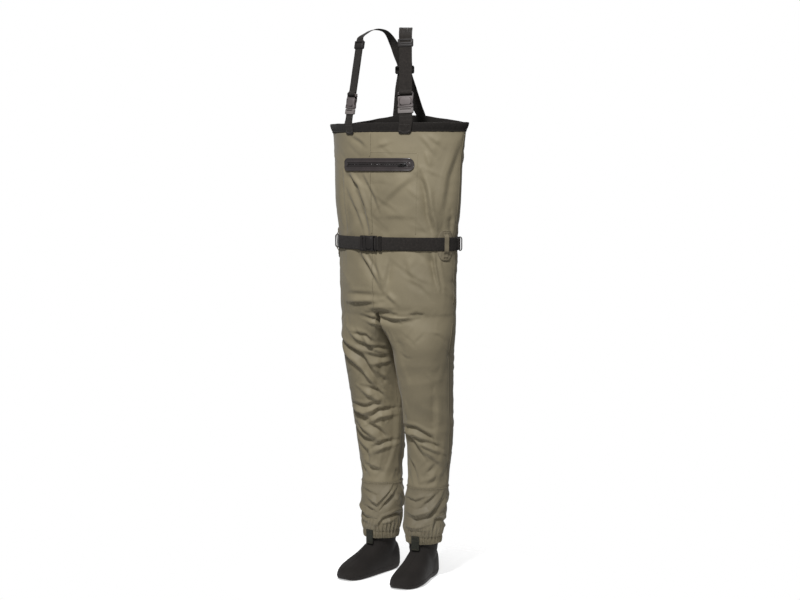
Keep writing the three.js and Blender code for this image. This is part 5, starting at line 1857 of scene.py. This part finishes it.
    turn, at = on_torso(BACK_STRAP_ANGLE, 1.426, RIM_PROUD + WEB_THICK / 2 + 0.0012)
    _, foot_at = on_torso(BACK_STRAP_ANGLE, 1.396, RIM_PROUD + WEB_THICK / 2 + 0.0012)
    rows = [
        (place(0.01, YOKE_Y + lay, YOKE_HEIGHT - 0.001), (1, 0, 0)),
        (place(0.0105, YOKE_Y + lay, YOKE_HEIGHT - 0.014), (1, 0, 0)),
        (place(0.023, 0.042 + lay / 2, 1.51), (1, 0, 0.22)), (place(0.036, 0.054, 1.455), (1, -0.05, 0.2)),
        (at, (1, -0.1, 0)), (foot_at, (1, -0.1, 0)),
    ]
    back_strap = ribbon(
        f"{side}_back_webbing", rows, WEBBING - 0.004, WEB_THICK, "webbing", cup=0.0002, ripples=0.0002
    )
    dress(mirror_if(back_strap, side), None, stands_for=[f"{side}_back_strap"])
    turn, _ = on_torso(BACK_STRAP_ANGLE, 1.41)
    out = turn.to_3x3() @ Vector((0, -1, 0))
    along = turn.to_3x3() @ Vector((1, 0, 0))
    corner = [foot_at + out * (WEB_THICK / 2) + along * u * 0.0145 + Vector((0, 0, v)) for u, v in (
        (-1, 0.003), (1, 0.003), (1, 0.024), (-1, 0.024), (-1, 0.003), (1, 0.024), (1, 0.003), (-1, 0.024))]
    mirror_if(
        thread_piece(f"{side}_back_stitching", flat_stitches(corner, out), "grey_thread"),
        side
    )

yoke_at = Matrix.Translation(place(0, YOKE_Y, YOKE_HEIGHT))
yoke_outline = [
    (0.033, -0.0085), (0.033, 0.0085), (0.03, 0.0122), (0.012, 0.013), (-0.012, 0.013), (-0.03, 0.0122),
    (-0.033, 0.0085), (-0.033, -0.0085), (-0.03, -0.0122), (-0.012, -0.013), (0.012, -0.013), (0.03, -0.0122),
]
yoke_parts = [outline_plate(yoke_outline[::-1], (), 0.011, 0.0018, 4)]
for k in (-1, 1):
    for face in (-1, 1):
        yoke_parts.append(rounded_box(0.056, 0.001, 0.0014, 0, face * 0.0055, k * 0.0085, 0.0004))
yoke = welded("yoke_sleeve", yoke_parts, yoke_at, "black_plastic", [block(0.06, 0.0066, 0.04)])
outward(yoke)
dress(yoke, None, stands_for=["back_yoke"])

# ---- belt ---------------------------------------------------------------------------------
STANDOFF = 0.003
BUCKLE_ANGLE = FRONT - 0.1
BUCKLE_LIFT = 0.011 / 2 + 0.0014
belt_frame = frame_on_torso(BUCKLE_ANGLE, BELT_HEIGHT, BUCKLE_LIFT)
lay_along = Matrix(((0, 0, 1, 0), (0, 1, 0, 0), (-1, 0, 0, 0), (0, 0, 0, 1)))
PLUG_START = -0.034
STEP = math.pi / 20
RUN_JOINT = -17 * STEP


def beside_buckle(x):
    return (belt_frame @ Vector((x, 0, 0)), (0, 0, 1))


def round_body(t):
    lift = (BUCKLE_LIFT - STANDOFF - 0.001) * float(smooth(0.5, 0.15, abs(t - BUCKLE_ANGLE)))
    _, at = on_torso(t, BELT_HEIGHT, STANDOFF + WEB_THICK / 2 + lift)
    return (at, (0, 0, 1))


socket_end = PLUG_START + PLUG_FRAME + GAP + SOCKET_LONG
fixed = [beside_buckle(socket_end + 0.002), beside_buckle(socket_end + 0.014)]
fixed += [round_body(t) for t in np.arange(FRONT + STEP, RUN_JOINT + 2 * math.pi - 0.02, STEP / 2)]
fixed += [round_body(RUN_JOINT + 2 * math.pi - 0.003)]
belt = ribbon("belt_fixed_webbing", fixed, WEBBING, WEB_THICK, "webbing", cup=0.0003, ripples=0.0003)
dress(belt, None, stands_for=["belt_webbing"])
adjusting = [round_body(t) for t in np.arange(RUN_JOINT, BUCKLE_ANGLE - 0.27, STEP / 2)]
adjusting += [beside_buckle(PLUG_START - 0.005), beside_buckle(PLUG_START + 0.0138)]
run = ribbon("belt_adjusting_webbing", adjusting, WEBBING, WEB_THICK, "webbing", cup=0.0003, ripples=0.0002)
dress(run, None, None, ["belt_adjusting_run"])
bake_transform(run)
buckle(
    "belt", belt_frame @ lay_along, PLUG_START, ("black_plastic", "black_plastic"),
    ("belt_plug", "garment"), ("belt_buckle_plug", "belt_buckle_socket")
)
# An elastic keeper holds the belt's doubled end beside the socket.
keeper_x = socket_end + 0.0235
band = welded(
    "belt_keeper_band",
    [outline_plate(rounded(0.0125, WEBBING + 0.005, 0.002), (), 0.0055, 0.0012, 2)],
    belt_frame @ Matrix.Translation((keeper_x, 0.0012, 0)),
    "binding",
)
dress(band, None)

# Belt loops over the belt, on oval patches.
for name, t in (("left", -0.3), ("right", math.pi + 0.3), ("back", BACK)):
    over = STANDOFF + WEB_THICK + 0.0022
    loop_rows = []
    for z, out in (
        (-0.041, 0.0026), (-WEBBING / 2 - 0.009, 0.0028), (-WEBBING / 2 - 0.001, over), (0, over + 0.0004),
        (WEBBING / 2 + 0.001, over), (WEBBING / 2 + 0.009, 0.0028), (0.037, 0.0026),
    ):
        turn, at = on_torso(t, BELT_HEIGHT + z, out)
        loop_rows.append((at, turn.to_3x3() @ Vector((1, 0, 0))))
    loop = ribbon(f"{name}_loop_cloth", loop_rows, 0.015, 0.0014, "patch", step=0.002, cup=0.0003)
    dress(loop, None, stands_for=[f"{name}_belt_loop"])
    threads = edge_stitches(loop_rows, 0.015, 0.0014, 0.0022)
    columns, rows_count = 25, 31
    patch_points, rim_line, rim_normals = [], [], []
    for j in range(rows_count):
        level = -1 + 2 * j / (rows_count - 1)
        spread = 0.12 + 0.88 * math.sqrt(max(0, 1 - abs(level) ** 2.3))
        for i in range(columns):
            u = -1 + 2 * i / (columns - 1)
            angle, height = t + 0.21 * spread * u, BELT_HEIGHT - 0.004 + 0.047 * level
            edge = min(1, (1 - abs(u)) * 8, (1 - abs(level)) * 9)
            crease = 0.0007 * noise.noise((angle * 30, height * 90, 3))
            _, at = on_torso(angle, height, 0.0011 + 0.0005 * edge + crease * edge)
            patch_points.append(at)
    patch = new_object(
        f"{name}_loop_backing", patch_points, grid_faces(rows_count, columns), None, LOOKS["patch"]
    )
    thickened(patch, 0.0009, 0)
    outward(patch)
    dress(patch, None, stands_for=[f"{name}_belt_loop_patch"])
    for k in range(90):
        a = k / 89 * 2 * math.pi
        level = 0.93 * math.sin(a)
        spread = 0.12 + 0.88 * math.sqrt(max(0, 1 - abs(level) ** 2.3))
        u = 0.91 * math.copysign(
            min(1, abs(math.cos(a)) / max(1e-6, math.sqrt(max(1e-6, 1 - min(1, abs(math.sin(a))) ** 2)))),
            math.cos(a)
        )
        u *= smooth(0, 0.25, abs(math.cos(a)))
        turn, at = on_torso(t + 0.21 * spread * float(u), BELT_HEIGHT - 0.004 + 0.047 * level, 0.0021)
        rim_line.append(at)
        rim_normals.append(turn.to_3x3() @ Vector((0, -1, 0)))
    threads += stitches(rim_line, rim_normals, 0.0028, 0.001, 0.00035)
    thread_piece(f"{name}_loop_stitching", threads, "olive_thread")

# D-rings in their folded keepers.
SEAT = STANDOFF + WEB_THICK + 0.0034
for side, t, lean in (("left", 0.15, -math.radians(35)), ("right", math.pi + 0.12, math.radians(35))):
    at = frame_on_torso(t, BELT_HEIGHT)
    half, reach, corner = 0.0202, 0.0112, 0.0072
    outline = [(0, z) for z in np.linspace(half - 0.002, -half + 0.002, 12)]
    outline += [(0.0006 + x, -half) for x in np.linspace(0, reach - corner - 0.0006, 4)]
    outline += [
        (
            reach - corner + corner * math.sin(a), -half + corner - corner * math.cos(a)
        ) for a in np.linspace(0.15, math.pi / 2, 8)
    ]
    outline += [(reach, z) for z in np.linspace(-half + corner, half - corner, 8)[1:-1]]
    outline += [
        (
            reach - corner + corner * math.cos(a), half - corner + corner * math.sin(a)
        ) for a in np.linspace(0, math.pi / 2 - 0.15, 8)
    ]
    outline += [(0.0006 + x, half) for x in np.linspace(reach - corner - 0.0006, 0, 4)]
    path = [(u * math.sin(lean), -u * math.cos(lean) - SEAT, z) for u, z in outline]
    ring = outward(
        new_object(
            f"{side}_d_ring_wire", *tube(path, 0.00178, 12, wrap=True), None, LOOKS["black_plastic"]
        )
    )
    ring.data.transform(at)
    dress(ring, None, f"{side}_ring", [f"{side}_belt_d_ring"])
    fold_path = (
        (-0.009, -0.0061), (-0.0045, -0.0062), (-0.003, -0.0078), (-0.0024, -0.0099), (0, -0.0113),
        (0.0024, -0.0099), (0.003, -0.0078), (0.0045, -0.0062), (0.009, -0.0061)
    )
    rows = [(Vector((x, y, 0)), (0, 0, 1)) for x, y in fold_path]
    keeper = ribbon(f"{side}_ring_keeper", rows, 0.034, 0.0013, "webbing", step=0.0012)
    keeper.data.transform(at)
    dress(keeper, None, stands_for=[f"{side}_d_ring_keeper"])
    threads = []
    out = at.to_3x3() @ Vector((0, -1, 0))
    for x in (-0.0066, 0.0066):
        threads += flat_stitches(
            [at @ Vector((x, -0.0068, z)) for z in (-0.0155, 0.0155)], out, 0.0022, 0.0008
        )
    thread_piece(f"{side}_keeper_stitching", threads, "grey_thread")

# ---- floor --------------------------------------------------------------------------------
floor = new_object(
    "floor", [(-40, -40, SOLE_Z), (40, -40, SOLE_Z), (40, 40, SOLE_Z), (-40, 40, SOLE_Z)], [(0, 1, 2, 3)]
)
s = Shader("pale_floor", 0.9)
s.colour(s.noise(2, 2), ((0.3, 0.88), (0.7, 0.9)))
s.surface.inputs["Emission Color"].default_value = (1, 1, 1, 1)
s.surface.inputs["Emission Strength"].default_value = 0.5
rings = s.add("TexGradient", gradient_type="SPHERICAL")
s.link(s.where("Object", (1.9, 1.9, 0)), rings.inputs["Vector"])
s.link(s.ramp(rings.outputs[0], ((0.0, 0.0), (0.6, 1.0))), s.surface.inputs["Alpha"])
floor.data.materials.append(s.material)
